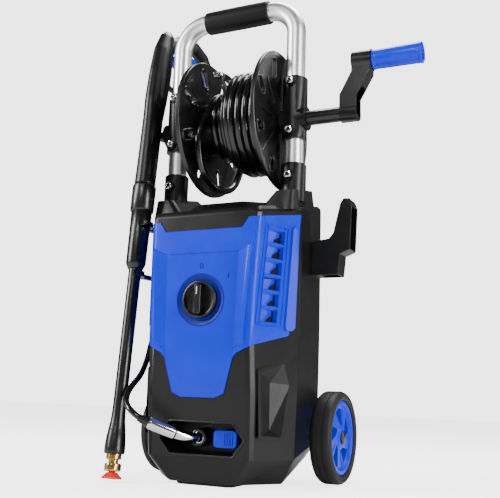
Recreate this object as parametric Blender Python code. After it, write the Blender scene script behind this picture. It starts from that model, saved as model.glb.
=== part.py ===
"""Upright electric pressure washer with a hose reel, a hung spray gun and two wheels.

Frame: +X is the viewer's right, the front faces -Y, +Z is up and the floor is z = 0. The plane x = 0 is the
housing's plane of symmetry, and the handle's legs and the reel's axis lie in the plane y = 0.
All lengths are in metres.
"""
import math

import bmesh
import bpy
import numpy as np
from mathutils import Matrix, Vector

# ---- driving dimensions ------------------------------------------------------------------------------------
GAP = 0.0003                # clearance left between touching pieces
WELD = 0.000001             # distance under which vertices are merged
FLAT = 0.000001             # a four-sided face further out of its plane than this is split in two
WALL = 0.0035               # thickness of the moulded housing shells
PANEL_STEP = 0.007          # thickness of the blue panel, let into the housing

FLOOR_CLEARANCE = 0.0050    # underside of the housing above the floor
COVER_SEAM_Z = 0.4365       # front edge of the seam between the shells and the top cover
COVER_TOP_Z = 0.447         # front edge of the cover's top, beside its towers
PARTING_Y = 0.100           # seam between the front and rear shells, which clamps the axle
WING_END_Y = -0.010         # where the slanted wings turn into the straight sides

LEG_X = 0.118               # half the spacing of the handle's legs
TUBE_RADIUS = 0.0172
TUBE_WALL = 0.0015
SLEEVE_RADIUS = 0.0222      # sockets and reel brackets round the legs
GRIP_Z = 0.845
GRIP_HALF = 0.065
BEND_RADIUS = 0.052

REEL_Z = 0.627
FLANGE_RADIUS = 0.125
DRUM_RADIUS = 0.050
COIL_RADIUS = 0.095
HOSE_RADIUS = 0.0065
SHAFT_RADIUS = 0.013
LEFT_FLANGE_X = -0.045
RIGHT_FLANGE_X = 0.090
CRANK_RADIUS = 0.091
CRANK_GRIP_Z = REEL_Z + CRANK_RADIUS

WHEEL_RADIUS = 0.0785
RIM_RADIUS = 0.0625
WHEEL_Y = PARTING_Y
WHEEL_IN_X = 0.145
WHEEL_OUT_X = 0.183
AXLE_RADIUS = 0.006

KNOB_Z = 0.296
RECESS_X = 0.006            # middle of the recess for the water connections
PORT_Z = 0.075
OUTLET_X = -0.012
INLET_X = 0.0435
RECESS_FLOOR_Y = -0.048

LANCE_TIP = Vector((-0.140, -0.120, 0.004))
LANCE_TOP = Vector((-0.165, -0.008, 0.832))
GUN_TWIST = math.radians(-10)    # the grip's loop turns a little behind the handle

PIPE_RADIUS = 0.005         # jumper hose from the pump to the reel

# ---- directions --------------------------------------------------------------------------------------------
ORIGIN = (0.0, 0.0, 0.0)
UPRIGHT = (0.0, 0.0, 0.0)
ALONG_X = (0.0, math.pi / 2, 0.0)              # local z points along +X
FRONT_VIEW = (math.pi / 2, 0.0, 0.0)           # local x, y, z are world X, Z, -Y
SIDE_VIEW = (math.pi / 2, 0.0, math.pi / 2)    # local x, y, z are world Y, Z, X

# ---- materials: colour, roughness, metallic ----------------------------------------------------------------
FINISHES = {
    "black_plastic": ((0.018, 0.018, 0.020), 0.42, 0.0),
    "blue_plastic": ((0.0, 0.08, 0.85), 0.32, 0.0),
    "foam": ((0.012, 0.012, 0.012), 0.75, 0.0),
    "hose_rubber": ((0.010, 0.010, 0.011), 0.38, 0.0),
    "tyre_rubber": ((0.030, 0.030, 0.030), 0.62, 0.0),
    "aluminium": ((0.80, 0.80, 0.82), 0.22, 1.0),
    "steel": ((0.62, 0.62, 0.64), 0.28, 1.0),
    "chrome": ((0.90, 0.90, 0.92), 0.08, 1.0),
    "brass": ((0.78, 0.52, 0.20), 0.25, 1.0),
    "red_plastic": ((0.75, 0.03, 0.02), 0.40, 0.0),
    "cast_aluminium": ((0.55, 0.56, 0.58), 0.45, 1.0),
}


def clear_scene():
    for thing in list(bpy.data.objects):
        bpy.data.objects.remove(thing, do_unlink=True)


def make_material(name):
    colour, roughness, metallic = FINISHES[name]
    material = bpy.data.materials.new(name)
    material.use_nodes = True
    shader = material.node_tree.nodes["Principled BSDF"]
    shader.inputs["Base Color"].default_value = (*colour, 1.0)
    shader.inputs["Roughness"].default_value = roughness
    shader.inputs["Metallic"].default_value = metallic
    return material


clear_scene()
MATERIALS = {name: make_material(name) for name in FINISHES}


# ---- modelling helpers -------------------------------------------------------------------------------------
def add_object(name, bm, finish, place=ORIGIN, turn=UPRIGHT):
    """Close, orient and link a mesh as one object; finish None makes a cutting or joining tool."""
    bmesh.ops.remove_doubles(bm, verts=bm.verts, dist=WELD)
    bmesh.ops.recalc_face_normals(bm, faces=bm.faces)
    mesh = bpy.data.meshes.new(name)
    bm.to_mesh(mesh)
    bm.free()
    mesh.shade_smooth()
    mesh.set_sharp_from_angle(angle=math.radians(35))
    obj = bpy.data.objects.new(name, mesh)
    obj.location = place
    obj.rotation_euler = turn
    bpy.context.scene.collection.objects.link(obj)
    if finish:
        mesh.materials.append(MATERIALS[finish])
    else:
        obj.hide_render = True
        obj.display_type = "WIRE"
    return obj


def combine(target, operation, *tools):
    for tool in tools:
        modifier = target.modifiers.new(tool.name, "BOOLEAN")
        modifier.operation = operation
        modifier.solver = "EXACT"
        modifier.object = tool
    return target


def cut(target, *tools):
    return combine(target, "DIFFERENCE", *tools)


def join(target, *tools):
    return combine(target, "UNION", *tools)


def keep_inside(target, *tools):
    return combine(target, "INTERSECT", *tools)


def skin(name, sections, finish, place=ORIGIN, turn=UPRIGHT):
    """Skin a stack of closed rings of equal point counts, closing both ends with one face."""
    bm = bmesh.new()
    rows = [[bm.verts.new(point) for point in ring] for ring in sections]
    for low, high in zip(rows, rows[1:]):
        for i in range(len(low)):
            j = (i + 1) % len(low)
            bm.faces.new((low[i], low[j], high[j], high[i]))
    bm.faces.new(rows[0])
    bm.faces.new(rows[-1])
    return add_object(name, bm, finish, place, turn)


def skin_pairs(name, sections, finish):
    """Skin sections given as two facing paths, closing the ends with strips between the paths.

    Twisted sides are split into triangles here, so that two skins a small gap apart bend along
    the same lines.
    """
    bm = bmesh.new()
    rows = []
    for first, second in sections:
        rows.append(([bm.verts.new(p) for p in first], [bm.verts.new(p) for p in second]))
    for (a_low, b_low), (a_high, b_high) in zip(rows, rows[1:]):
        low = a_low + b_low[::-1]
        high = a_high + b_high[::-1]
        for i in range(len(low)):
            j = (i + 1) % len(low)
            normal = (low[j].co - low[i].co).cross(high[j].co - low[i].co).normalized()
            if abs(normal.dot(high[i].co - low[i].co)) < FLAT:
                bm.faces.new((low[i], low[j], high[j], high[i]))
            else:
                bm.faces.new((low[i], low[j], high[j]))
                bm.faces.new((low[i], high[j], high[i]))
    for first, second in (rows[0], rows[-1]):
        for i in range(len(first) - 1):
            bm.faces.new((first[i], first[i + 1], second[i + 1], second[i]))
    return add_object(name, bm, finish)


def prism(name, outline, low, high, finish=None, place=ORIGIN, turn=UPRIGHT):
    """An outline in the local XY plane, extruded along local z from low to high."""
    rings = [[(x, y, z) for x, y in outline] for z in (low, high)]
    return skin(name, rings, finish, place, turn)


def block(name, low, high, finish=None):
    """A box between two opposite corners."""
    outline = [(low[0], low[1]), (high[0], low[1]), (high[0], high[1]), (low[0], high[1])]
    return prism(name, outline, low[2], high[2], finish)


def turned(name, profile, finish=None, place=ORIGIN, turn=UPRIGHT, steps=24):
    """Spin a profile of (radius, height) about local z; a profile that leaves the axis closes on itself."""
    bm = bmesh.new()
    points = [bm.verts.new((radius, 0.0, height)) for radius, height in profile]
    edges = [bm.edges.new(pair) for pair in zip(points, points[1:])]
    if profile[0][0] > 0:
        edges.append(bm.edges.new((points[-1], points[0])))
    bmesh.ops.spin(bm, geom=points + edges, cent=ORIGIN, axis=(0, 0, 1), angle=2 * math.pi, steps=steps)
    return add_object(name, bm, finish, place, turn)


def rod(name, radius, low, high, finish=None, place=ORIGIN, turn=UPRIGHT, steps=24):
    return turned(name, [(0, low), (radius, low), (radius, high), (0, high)], finish, place, turn, steps)


def sleeve(inner, outer, low, high, chamfer=0.0):
    """The profile of a pipe, with its outer edges chamfered."""
    return [
        (inner, low),
        (outer - chamfer, low),
        (outer, low + chamfer),
        (outer, high - chamfer),
        (outer - chamfer, high),
        (inner, high),
    ]


def circle(radius, count, centre=(0.0, 0.0), start=0.0):
    turns = [start + 2 * math.pi * i / count for i in range(count)]
    return [(centre[0] + radius * math.cos(a), centre[1] + radius * math.sin(a)) for a in turns]


def rounded(points, radii, steps=3, closed=True):
    """The outline with each corner replaced by an arc; a radius of zero keeps the corner."""
    outline = []
    for i, point in enumerate(points):
        corner = Vector(point)
        ends = not closed and i in (0, len(points) - 1)
        radius = radii[i] if isinstance(radii, (list, tuple)) else radii
        if ends or radius == 0:
            outline.append(tuple(corner))
            continue
        back = (Vector(points[i - 1]) - corner).normalized()
        ahead = (Vector(points[(i + 1) % len(points)]) - corner).normalized()
        half = back.angle(ahead) / 2
        centre = corner + (back + ahead).normalized() * (radius / math.sin(half))
        first = (corner + back * (radius / math.tan(half)) - centre).normalized()
        last = (corner + ahead * (radius / math.tan(half)) - centre).normalized()
        for step in range(steps + 1):
            outline.append(tuple(centre + first.slerp(last, step / steps) * radius))
    return outline


def rectangle(width, height, centre=(0.0, 0.0)):
    x, y = centre
    return [
        (x - width / 2, y - height / 2),
        (x + width / 2, y - height / 2),
        (x + width / 2, y + height / 2),
        (x - width / 2, y + height / 2),
    ]


def mirrored(outline):
    """The outline mirrored in x, in reverse order so that it still runs the same way round."""
    return [(-x, y) for x, y in reversed(outline)]


def spline(points, spacing):
    """Points about one spacing apart on the smooth curve through the given points."""
    knots = [Vector(p) for p in points]
    knots = [knots[0] * 2 - knots[1]] + knots + [knots[-1] * 2 - knots[-2]]
    dense = []
    for p0, p1, p2, p3 in zip(knots, knots[1:], knots[2:], knots[3:]):
        t0 = 0.0
        t1 = t0 + math.sqrt((p1 - p0).length)
        t2 = t1 + math.sqrt((p2 - p1).length)
        t3 = t2 + math.sqrt((p3 - p2).length)
        for step in range(20):
            t = t1 + (t2 - t1) * step / 20
            a1 = p0 * ((t1 - t) / (t1 - t0)) + p1 * ((t - t0) / (t1 - t0))
            a2 = p1 * ((t2 - t) / (t2 - t1)) + p2 * ((t - t1) / (t2 - t1))
            a3 = p2 * ((t3 - t) / (t3 - t2)) + p3 * ((t - t2) / (t3 - t2))
            b1 = a1 * ((t2 - t) / (t2 - t0)) + a2 * ((t - t0) / (t2 - t0))
            b2 = a2 * ((t3 - t) / (t3 - t1)) + a3 * ((t - t1) / (t3 - t1))
            dense.append(b1 * ((t2 - t) / (t2 - t1)) + b2 * ((t - t1) / (t2 - t1)))
    dense.append(knots[-2])
    lengths = np.cumsum([0.0] + [(b - a).length for a, b in zip(dense, dense[1:])])
    count = max(2, round(lengths[-1] / spacing))
    marks = np.linspace(0.0, lengths[-1], count + 1)
    columns = [np.interp(marks, lengths, [p[axis] for p in dense]) for axis in range(3)]
    return [Vector(p) for p in zip(*columns)]


def tube(name, points, radius, finish, resolution=3, place=ORIGIN, turn=UPRIGHT):
    """A round bar along the points."""
    curve = bpy.data.curves.new(name, "CURVE")
    curve.dimensions = "3D"
    curve.bevel_depth = radius
    curve.bevel_resolution = resolution
    curve.resolution_u = 1
    curve.render_resolution_u = 0
    curve.use_fill_caps = True
    path = curve.splines.new("POLY")
    path.points.add(len(points) - 1)
    for knot, point in zip(path.points, points):
        knot.co = (*point, 1.0)
    obj = bpy.data.objects.new(name, curve)
    obj.location = place
    obj.rotation_euler = turn
    bpy.context.scene.collection.objects.link(obj)
    if finish:
        curve.materials.append(MATERIALS[finish])
    else:
        obj.hide_render = True
        obj.display_type = "WIRE"
    return obj


# ---- housing -----------------------------------------------------------------------------------------------
# Each station: height, then half widths at the front face, wing end, parting line and rear face,
# with the front face's and the rear face's y.
STATIONS = (
    (FLOOR_CLEARANCE, 0.058, 0.112, 0.112, 0.080, -0.074, 0.112),
    (0.045, 0.092, 0.133, 0.131, 0.096, -0.091, 0.140),
    (0.150, 0.094, 0.136, 0.1335, 0.100, -0.099, 0.158),
    (0.240, 0.092, 0.138, 0.1345, 0.100, -0.105, 0.154),
    (0.300, 0.093, 0.139, 0.1345, 0.098, -0.104, 0.138),
    (COVER_SEAM_Z, 0.099, 0.139, 0.134, 0.095, -0.102, 0.130),
)
FRONT_CORNER_RADIUS = 0.014
REAR_CORNER_RADIUS = 0.024
CORNER_POINTS = 3           # points on each rounded corner of the plan
RISE_START_Y = -0.010       # behind this line the underside slopes up
RISE_SLOPE = 0.36
RISE_END_Z = 0.120          # above this height the underside's slope has run out
TOP_SLOPE = 0.22            # the top edge climbs towards the rear at this rate
TOP_SLOPE_Y = -0.105        # it climbs behind this line
TOP_SLOPE_START_Z = 0.240   # the slope grows from this height to the seam


def station(height):
    columns = list(zip(*STATIONS))
    return [float(np.interp(height, columns[0], column)) for column in columns[1:]]


def rise(y, z):
    """How far a point of a level section is lifted, for the sloping underside and the sloping top."""
    under = max(0.0, y - RISE_START_Y) * RISE_SLOPE * max(0.0, 1.0 - z / RISE_END_Z)
    share = (z - TOP_SLOPE_START_Z) / (COVER_SEAM_Z - TOP_SLOPE_START_Z)
    return under + (y - TOP_SLOPE_Y) * TOP_SLOPE * min(1.0, max(0.0, share))


def lifted(outline, height):
    return [(x, y, height + rise(y, height)) for x, y in outline]


def side_x(y, z):
    """Half width of the housing beside the wings."""
    _, wing, seam, _, _, _ = station(z)
    return wing + (seam - wing) * (y - WING_END_Y) / (PARTING_Y - WING_END_Y)


def half_plan(height, inset=0.0, step=0.0):
    """The right half of the housing's plan at a height, from the front centre round to the rear centre."""
    front, wing, seam, rear, front_y, rear_y = station(height)
    path = [
        (0.0, front_y + inset + step),
        (front - 0.6 * (inset + step), front_y + inset + step),
        (wing - inset - step, WING_END_Y + inset + 0.002),
        (wing - inset, WING_END_Y + inset + 0.003),
        (seam - inset, PARTING_Y),
        (rear - 0.6 * inset, rear_y - inset),
        (0.0, rear_y - inset),
    ]
    radii = (0, FRONT_CORNER_RADIUS, 0, 0, 0, REAR_CORNER_RADIUS, 0)
    return rounded(path, radii, CORNER_POINTS - 1, closed=False)


def body_sections(levels):
    """Sections for skin_pairs from levels of (height, inset, panel step)."""
    sections = []
    for height, inset, step in levels:
        right = lifted(half_plan(height, inset, step), height)
        left = [(-x, y, z) for x, y, z in right]
        sections.append((right[1:-1], left[1:-1]))
    return sections


def body_solid(name, finish):
    levels = [(z, 0.0, 0.0) for z in (FLOOR_CLEARANCE, 0.045, 0.150, 0.240, 0.300, COVER_SEAM_Z)]
    return skin_pairs(name, body_sections(levels), finish)


def body_cavity(name):
    """The space inside the shells; it runs up into the top cover."""
    levels = [(z, WALL, 0.0) for z in (FLOOR_CLEARANCE + WALL, 0.047, 0.126)]
    levels += [(z, WALL, PANEL_STEP) for z in (0.135, 0.240, 0.300, COVER_SEAM_Z, COVER_TOP_Z - WALL)]
    return skin_pairs(name, body_sections(levels), None)


RECESS_TIP_HALF = 0.078
RECESS_MOUTH = (0.058, 0.0265)     # half width of its flat edges, half height
RECESS_TAPER = 0.90


def hexagon_mouth(grow=0.0, scale=1.0):
    half, height = RECESS_MOUTH
    tip = RECESS_TIP_HALF * scale + grow
    half = half * scale + grow * 0.6
    height = height * scale + grow
    corners = [(-tip, 0), (-half, -height), (half, -height), (tip, 0), (half, height), (-half, height)]
    return [(RECESS_X + x, PORT_Z + y) for x, y in corners]


def connection_pocket(name, grow, mouth_y, floor_y):
    """The front recess for the water connections, narrowing to its floor."""
    rings = []
    for y, scale in ((mouth_y, 1.04), (floor_y, RECESS_TAPER)):
        rings.append([(x, y, z) for x, z in hexagon_mouth(grow, scale)])
    return skin(name, rings, None)


SIDE_HALF = 0.1355          # half width of the base at the wing ends
SIDE_SLANT = 0.408          # how fast the base's sides spread towards the wing ends
POCKET_MOUTH = ((-0.0877, 0.182), (-0.0829, 0.082), (-0.0363, 0.079), (-0.0236, 0.163), (-0.0362, 0.199))
POCKET_KEEL = ((-0.0480, 0.0905), (-0.0487, 0.166))
POCKET_DEPTH = 0.0150


def hull(name, points):
    """The convex solid round the points, as a tool."""
    bm = bmesh.new()
    for point in points:
        bm.verts.new(point)
    shell = bmesh.ops.convex_hull(bm, input=bm.verts)
    bmesh.ops.delete(bm, geom=[v for v in shell["geom_interior"] if v.is_valid], context="VERTS")
    return add_object(name, bm, None)


def side_pocket(name, side, grow, mouth_sinks):
    """A faceted recess in the lower side; two long facets meet at a keel, POCKET_DEPTH under the surface."""
    centre = Vector((-0.053, 0.140))
    layers = [(POCKET_MOUTH, sink) for sink in mouth_sinks] + [(POCKET_KEEL, POCKET_DEPTH + grow)]
    points = []
    for outline, sink in layers:
        for y, z in outline:
            point = Vector((y, z))
            point += (point - centre).normalized() * grow
            x = SIDE_HALF - (WING_END_Y - point.x) * SIDE_SLANT - sink
            points.append((side * x, point.x, point.y))
    return hull(name, points)


def build_shells():
    """Front and rear shells, parted at the plane that holds the axle."""
    recess_wall = connection_pocket("recess_wall", WALL, -0.0860, RECESS_FLOOR_Y + WALL)
    recess = connection_pocket("recess", 0.0, -0.120, RECESS_FLOOR_Y)
    knob_hole = rod("knob_hole", 0.0050, 0.085, 0.120, None, (0, 0, KNOB_Z), FRONT_VIEW, 10)
    axle_hole = rod("axle_hole", AXLE_RADIUS + GAP, -0.2, 0.2, None, (0, WHEEL_Y, WHEEL_RADIUS), ALONG_X, 16)
    outlet_hole = rod("outlet_hole", 0.0088, 0.030, 0.070, None, (OUTLET_X, 0, PORT_Z), FRONT_VIEW, 16)
    inlet_hole = rod("inlet_hole", 0.0068, 0.030, 0.070, None, (INLET_X, 0, PORT_Z), FRONT_VIEW, 16)
    gland_hole = rod("gland_hole", 0.0068, -0.200, -0.080, None, (-0.055, 0, 0.135), FRONT_VIEW, 16)
    cavity = body_cavity("cavity")
    behind = block("behind_parting", (-0.3, PARTING_Y - GAP / 2, -0.1), (0.3, 0.3, 0.6))
    ahead = block("ahead_of_parting", (-0.3, -0.3, -0.1), (0.3, PARTING_Y + GAP / 2, 0.6))
    front = cut(body_solid("front_housing", "black_plastic"), cavity, axle_hole, knob_hole, behind)
    for side, label in ((-1, "left"), (1, "right")):
        join(front, side_pocket(label + "_pocket_wall", side, WALL, (0.0018,)))
    join(front, recess_wall)
    for side, label in ((-1, "left"), (1, "right")):
        cut(front, side_pocket(label + "_pocket", side, 0.0, (0.0, -0.020)))
    cut(front, recess, outlet_hole, inlet_hole, panel_blank("panel_seat", None, 0.010, 0.0, GAP))
    cut(body_solid("rear_housing", "black_plastic"), cavity, axle_hole, ahead, gland_hole)


SOCKET_BASE_Z = 0.4755
SOCKET_TOP_Z = 0.5440


def tower(name, side):
    """The raised collar on the top cover that a handle leg's socket stands in."""
    low = rounded([(0.072, -0.054), (0.1360, -0.050), (0.1345, 0.074), (0.072, 0.078)], 0.012, 2)
    high = rounded([(0.101, -0.044), (0.1345, -0.042), (0.1330, 0.062), (0.101, 0.064)], 0.009, 2)
    rings = [lifted([(side * x, y) for x, y in ring], z) for ring, z in ((low, 0.4400), (high, 0.4744))]
    return skin(name, rings, None)


def build_top_cover():
    levels = (
        (COVER_SEAM_Z + GAP, 0.0, 0.0),
        (COVER_SEAM_Z + 0.005, 0.0010, 0.0),
        (COVER_TOP_Z, 0.006, 0.0),
    )
    cover = skin_pairs("top_cover", body_sections(levels), "black_plastic")
    dome_low = rounded([(-0.060, -0.070), (0.060, -0.070), (0.060, 0.110), (-0.060, 0.110)], 0.016, 2)
    dome_high = rounded([(-0.046, -0.050), (0.046, -0.050), (0.046, 0.080), (-0.046, 0.080)], 0.010, 2)
    dome_rings = [lifted(ring, z) for ring, z in ((dome_low, 0.4450), (dome_high, 0.4600))]
    join(cover, skin("dome", dome_rings, None), tower("left_tower", -1), tower("right_tower", 1))
    cut(cover, body_cavity("cover_cavity"))
    for side, label in ((-1, "left"), (1, "right")):
        place = (side * LEG_X, 0, 0)
        bore_radius = SLEEVE_RADIUS + GAP
        bore = rod(label + "_socket_bore", bore_radius, SOCKET_BASE_Z - GAP, 0.600, None, place, UPRIGHT, 20)
        cut(cover, bore)


# ---- blue front panel --------------------------------------------------------------------------------------
PANEL_TOP_Z = 0.4300        # at its front edge
PANEL_PROUD = 0.0015
LOUVER_COUNT = 6
LOUVER_PITCH = 0.0262
LOUVER_TOP_Z = 0.4110
LOUVER_START = 0.0180       # from the front corner to the lowest window, along the wing
LOUVER_LEAN = 0.0015        # each window above starts this much further back
LOUVER_WIDTH = 0.034
LOUVER_HEIGHT = 0.0190
LOUVER_DEPTH = 0.0045
DISH_RADIUS = 0.042
KNOB_RADIUS = 0.031


def panel_outline():
    """The panel seen from the front, counter-clockwise: tongue, wing and top notch, then mirrored."""
    right = [
        (0.030, 0.139),
        (0.047, 0.146),
        (0.062, 0.202),
        (0.068, 0.209),
        (0.093, 0.222),
        (0.200, 0.285),
        (0.200, 0.500),
        (0.083, 0.500),
        (0.083, 0.429),
        (0.072, 0.413),
    ]
    return right + mirrored(right)


def grown(outline, amount):
    """A counter-clockwise outline moved outwards by an amount."""
    moved = []
    for i, point in enumerate(outline):
        here = Vector(point)
        back = (here - Vector(outline[i - 1])).normalized()
        ahead = (Vector(outline[(i + 1) % len(outline)]) - here).normalized()
        normals = Vector((back.y, -back.x)) + Vector((ahead.y, -ahead.x))
        moved.append(tuple(here + normals * (amount / (1 + back.dot(ahead)))))
    return moved


def panel_section(height, proud, step, reach):
    """Outer and inner paths of the panel's section, from the left wing's end to the right wing's end.

    The wings end short of the housing's own wing ends, the more so towards the bottom.
    """
    end_y = float(np.interp(height, (0.240, PANEL_TOP_Z), (-0.0320, -0.0125))) + reach
    paths = []
    for path in (half_plan(height, -proud, 0.0), half_plan(height, 0.0, step)):
        right = list(path[1:CORNER_POINTS + 1])
        (corner_x, corner_y), (wing_x, wing_y) = path[CORNER_POINTS:CORNER_POINTS + 2]
        share = (end_y - corner_y) / (wing_y - corner_y)
        right.append((corner_x + (wing_x - corner_x) * share, end_y))
        left = [(-x, y) for x, y in reversed(right)]
        paths.append(lifted(left + right, height))
    return paths


def panel_blank(name, finish, proud, slack, seat_gap):
    """The panel before its details, or with a seat gap the space cut for it in the housing."""
    top = PANEL_TOP_Z + seat_gap
    heights = (0.130, 0.150, 0.240, 0.300, top)
    step = PANEL_STEP - slack
    blank = skin_pairs(name, [panel_section(z, proud, step, seat_gap) for z in heights], finish)
    shape = prism(name + "_shape", grown(panel_outline(), seat_gap), -0.060, 0.140, None, turn=FRONT_VIEW)
    return keep_inside(blank, shape)


def wing_direction(height):
    front, wing, _, _, front_y, _ = station(height)
    return Vector((wing - front, WING_END_Y - front_y, 0.0)).normalized(), Vector((front, front_y, 0.0))


def louver(name, side, row):
    """A wedge that cuts one louver window: shallow at its front edge and deep at its rear edge."""
    middle = LOUVER_TOP_Z - LOUVER_PITCH * row - LOUVER_HEIGHT / 2
    along, corner = wing_direction(middle)
    outward = Vector((along.y, -along.x, 0.0))
    start = corner + along * (LOUVER_START + LOUVER_LEAN * (LOUVER_COUNT - row))
    rings = []
    for reach, depth in ((0.0, 0.0006), (LOUVER_WIDTH, LOUVER_DEPTH)):
        centre = start + along * reach
        ring = []
        for out, up in ((-depth, -0.5), (0.012, -0.5), (0.012, 0.5), (-depth, 0.5)):
            point = centre + outward * (PANEL_PROUD + out)
            tilt = 0.0015 * (reach / LOUVER_WIDTH)
            ring.append((side * point.x, point.y, middle + up * LOUVER_HEIGHT + tilt))
        rings.append(ring)
    return skin(name, rings, None)


def build_front_panel():
    panel = panel_blank("front_panel", "blue_plastic", PANEL_PROUD, GAP, 0.0)
    field = [(0.050, 0.100), (0.064, 0.215), (0.074, 0.222), (0.078, 0.378), (0.064, 0.374)]
    field += mirrored(field)
    cut(panel, prism("panel_field", field, 0.1035, 0.140, None, turn=FRONT_VIEW))
    place = (0, 0, KNOB_Z)
    dish = [(0, 0.0995), (DISH_RADIUS - 0.008, 0.0995), (DISH_RADIUS + 0.004, 0.1095), (0, 0.1095)]
    cut(panel, turned("knob_dish", dish, None, place, FRONT_VIEW, 24))
    cut(panel, rod("panel_knob_hole", 0.0048, 0.080, 0.120, None, place, FRONT_VIEW, 10))
    for side, label in ((-1, "left"), (1, "right")):
        for row in range(LOUVER_COUNT):
            cut(panel, louver(f"{label}_louver_{row}", side, row))


def build_knob():
    """Round selector with a bar grip; its spindle reaches into the switch box."""
    disc = [
        (0, 0.0835),
        (0.0045, 0.0835),
        (0.0045, 0.0999),
        (KNOB_RADIUS, 0.0999),
        (KNOB_RADIUS, 0.1065),
        (KNOB_RADIUS - 0.003, 0.1095),
        (KNOB_RADIUS - 0.0055, 0.1095),
        (KNOB_RADIUS - 0.0065, 0.1045),
        (0, 0.1045),
    ]
    knob = turned("selector_knob", disc, "black_plastic", (0, 0, KNOB_Z), FRONT_VIEW, 24)
    bar = rounded(rectangle(0.012, 0.054), 0.004, 2)
    join(knob, prism("knob_bar", bar, 0.103, 0.1175, None, (0, 0, KNOB_Z), FRONT_VIEW))
    low, high = (-0.022, -0.0925, KNOB_Z - 0.026), (0.022, -0.062, KNOB_Z + 0.026)
    box = block("switch_box", low, high, "black_plastic")
    cut(box, rod("switch_bore", 0.0050, 0.080, 0.100, None, (0, 0, KNOB_Z), FRONT_VIEW, 12))


# ---- connections, foot, brackets on the housing ------------------------------------------------------------
def build_connections():
    port = [
        (0.0082, 0.0440),
        (0.0082, 0.0490),
        (0.0155, 0.0490),
        (0.0155, 0.0670),
        (0.0140, 0.0685),
        (0.0100, 0.0685),
        (0.0100, 0.0580),
        (0.0068, 0.0580),
        (0.0068, 0.0440),
    ]
    turned("outlet_port", port, "steel", (OUTLET_X, 0, PORT_Z), FRONT_VIEW, 16)
    shape = rounded(rectangle(0.041, 0.027), 0.006, 3)
    centre = (INLET_X, 0, PORT_Z)
    connector = prism("inlet_connector", shape, 0.0490, 0.0810, "blue_plastic", centre, FRONT_VIEW)
    for rib in range(4):
        centre = (INLET_X + 0.0005 + 0.0045 * rib, 0, PORT_Z)
        slot = rectangle(0.0018, 0.020)
        groove = prism(f"connector_groove_{rib}", slot, 0.0795, 0.088, None, centre, FRONT_VIEW)
        cut(connector, groove)
    spigot = rod("connector_spigot", 0.0062, 0.0430, 0.0500, None, (INLET_X, 0, PORT_Z), FRONT_VIEW, 16)
    join(connector, spigot)
    gland = [(0, 0.1300), (0.0064, 0.1300), (0.0064, 0.1605)]
    gland += [(0.0105, 0.1605), (0.0105, 0.1660), (0.0070, 0.1820)]
    gland += [(0, 0.1820)]
    turned("cable_gland", gland, "black_plastic", (-0.055, 0, 0.135), (-math.pi / 2, 0, 0), 16)


def build_foot():
    low = rounded([(-0.051, -0.068), (0.051, -0.068), (0.051, 0.012), (-0.051, 0.012)], 0.012, 3)
    high = rounded([(-0.0530, -0.0695), (0.0530, -0.0695), (0.0530, 0.014), (-0.0530, 0.014)], 0.012, 3)
    rings = [[(x, y, z) for x, y in ring] for ring, z in ((low, 0.0), (high, FLOOR_CLEARANCE - GAP))]
    skin("front_foot", rings, "black_plastic")


HOOK_Y = 0.060
HOOK_HALF = 0.0185


def build_cord_hook():
    root_x = side_x(HOOK_Y - HOOK_HALF, 0.3540) + GAP
    profile = [
        (root_x, 0.3540),
        (0.1870, 0.3540),
        (0.1905, 0.3900),
        (0.2080, 0.3970),
        (0.2110, 0.4750),
        (0.2060, 0.4880),
        (0.1960, 0.4885),
        (0.1900, 0.4800),
        (0.1780, 0.4280),
        (0.1700, 0.4180),
        (root_x, 0.4140),
    ]
    low, high = -HOOK_Y - HOOK_HALF, -HOOK_Y + HOOK_HALF
    hook = prism("cord_hook", profile, low, high, "black_plastic", ORIGIN, FRONT_VIEW)
    hollow = [
        (0.1960, 0.4780),
        (0.1900, 0.4280),
        (0.1900, 0.3990),
        (0.2200, 0.3990),
        (0.2200, 0.4700),
    ]
    cut(hook, prism("hook_hollow", hollow, low + 0.003, high - 0.003, None, ORIGIN, FRONT_VIEW))
    foot = [(0.1500, 0.3500), (0.1840, 0.3500), (0.1870, 0.3880), (0.1660, 0.3880)]
    cut(hook, prism("hook_foot_hollow", foot, low + 0.003, high - 0.003, None, ORIGIN, FRONT_VIEW))


def lance_frame():
    """Where the gun hangs: local z runs up the lance from its tip, local y points to the grip."""
    along = (LANCE_TOP - LANCE_TIP).normalized()
    sideways = Matrix.Rotation(math.atan2(along.x, along.z), 4, "Y")
    forwards = Matrix.Rotation(-math.asin(along.y), 4, "X")
    return Matrix.Translation(LANCE_TIP) @ sideways @ forwards @ Matrix.Rotation(GUN_TWIST, 4, "Z")


LANCE_FRAME = lance_frame()
LANCE_SPAN = (LANCE_TOP - LANCE_TIP).length


def lance_point(height):
    """The point on the lance's axis at a height above the floor."""
    share = (height - LANCE_TIP.z) / (LANCE_TOP.z - LANCE_TIP.z)
    return LANCE_TIP.lerp(LANCE_TOP, share)


def lance_length(height):
    return (height - LANCE_TIP.z) / (LANCE_TOP.z - LANCE_TIP.z) * LANCE_SPAN


CLIPS = (("gun_holder", 0.4400, 0.0199, 0.0238), ("lance_clip", 0.3490, 0.0124, 0.0176))
CLIP_MOUTH = (160, 190, 225, 260, 290)         # degrees round each clip that are left open
CLIP_HALF = 0.0050          # half the height of the clips
CLIP_ROOT_Y = 0.026         # front end of the clips' arms on the housing


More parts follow.
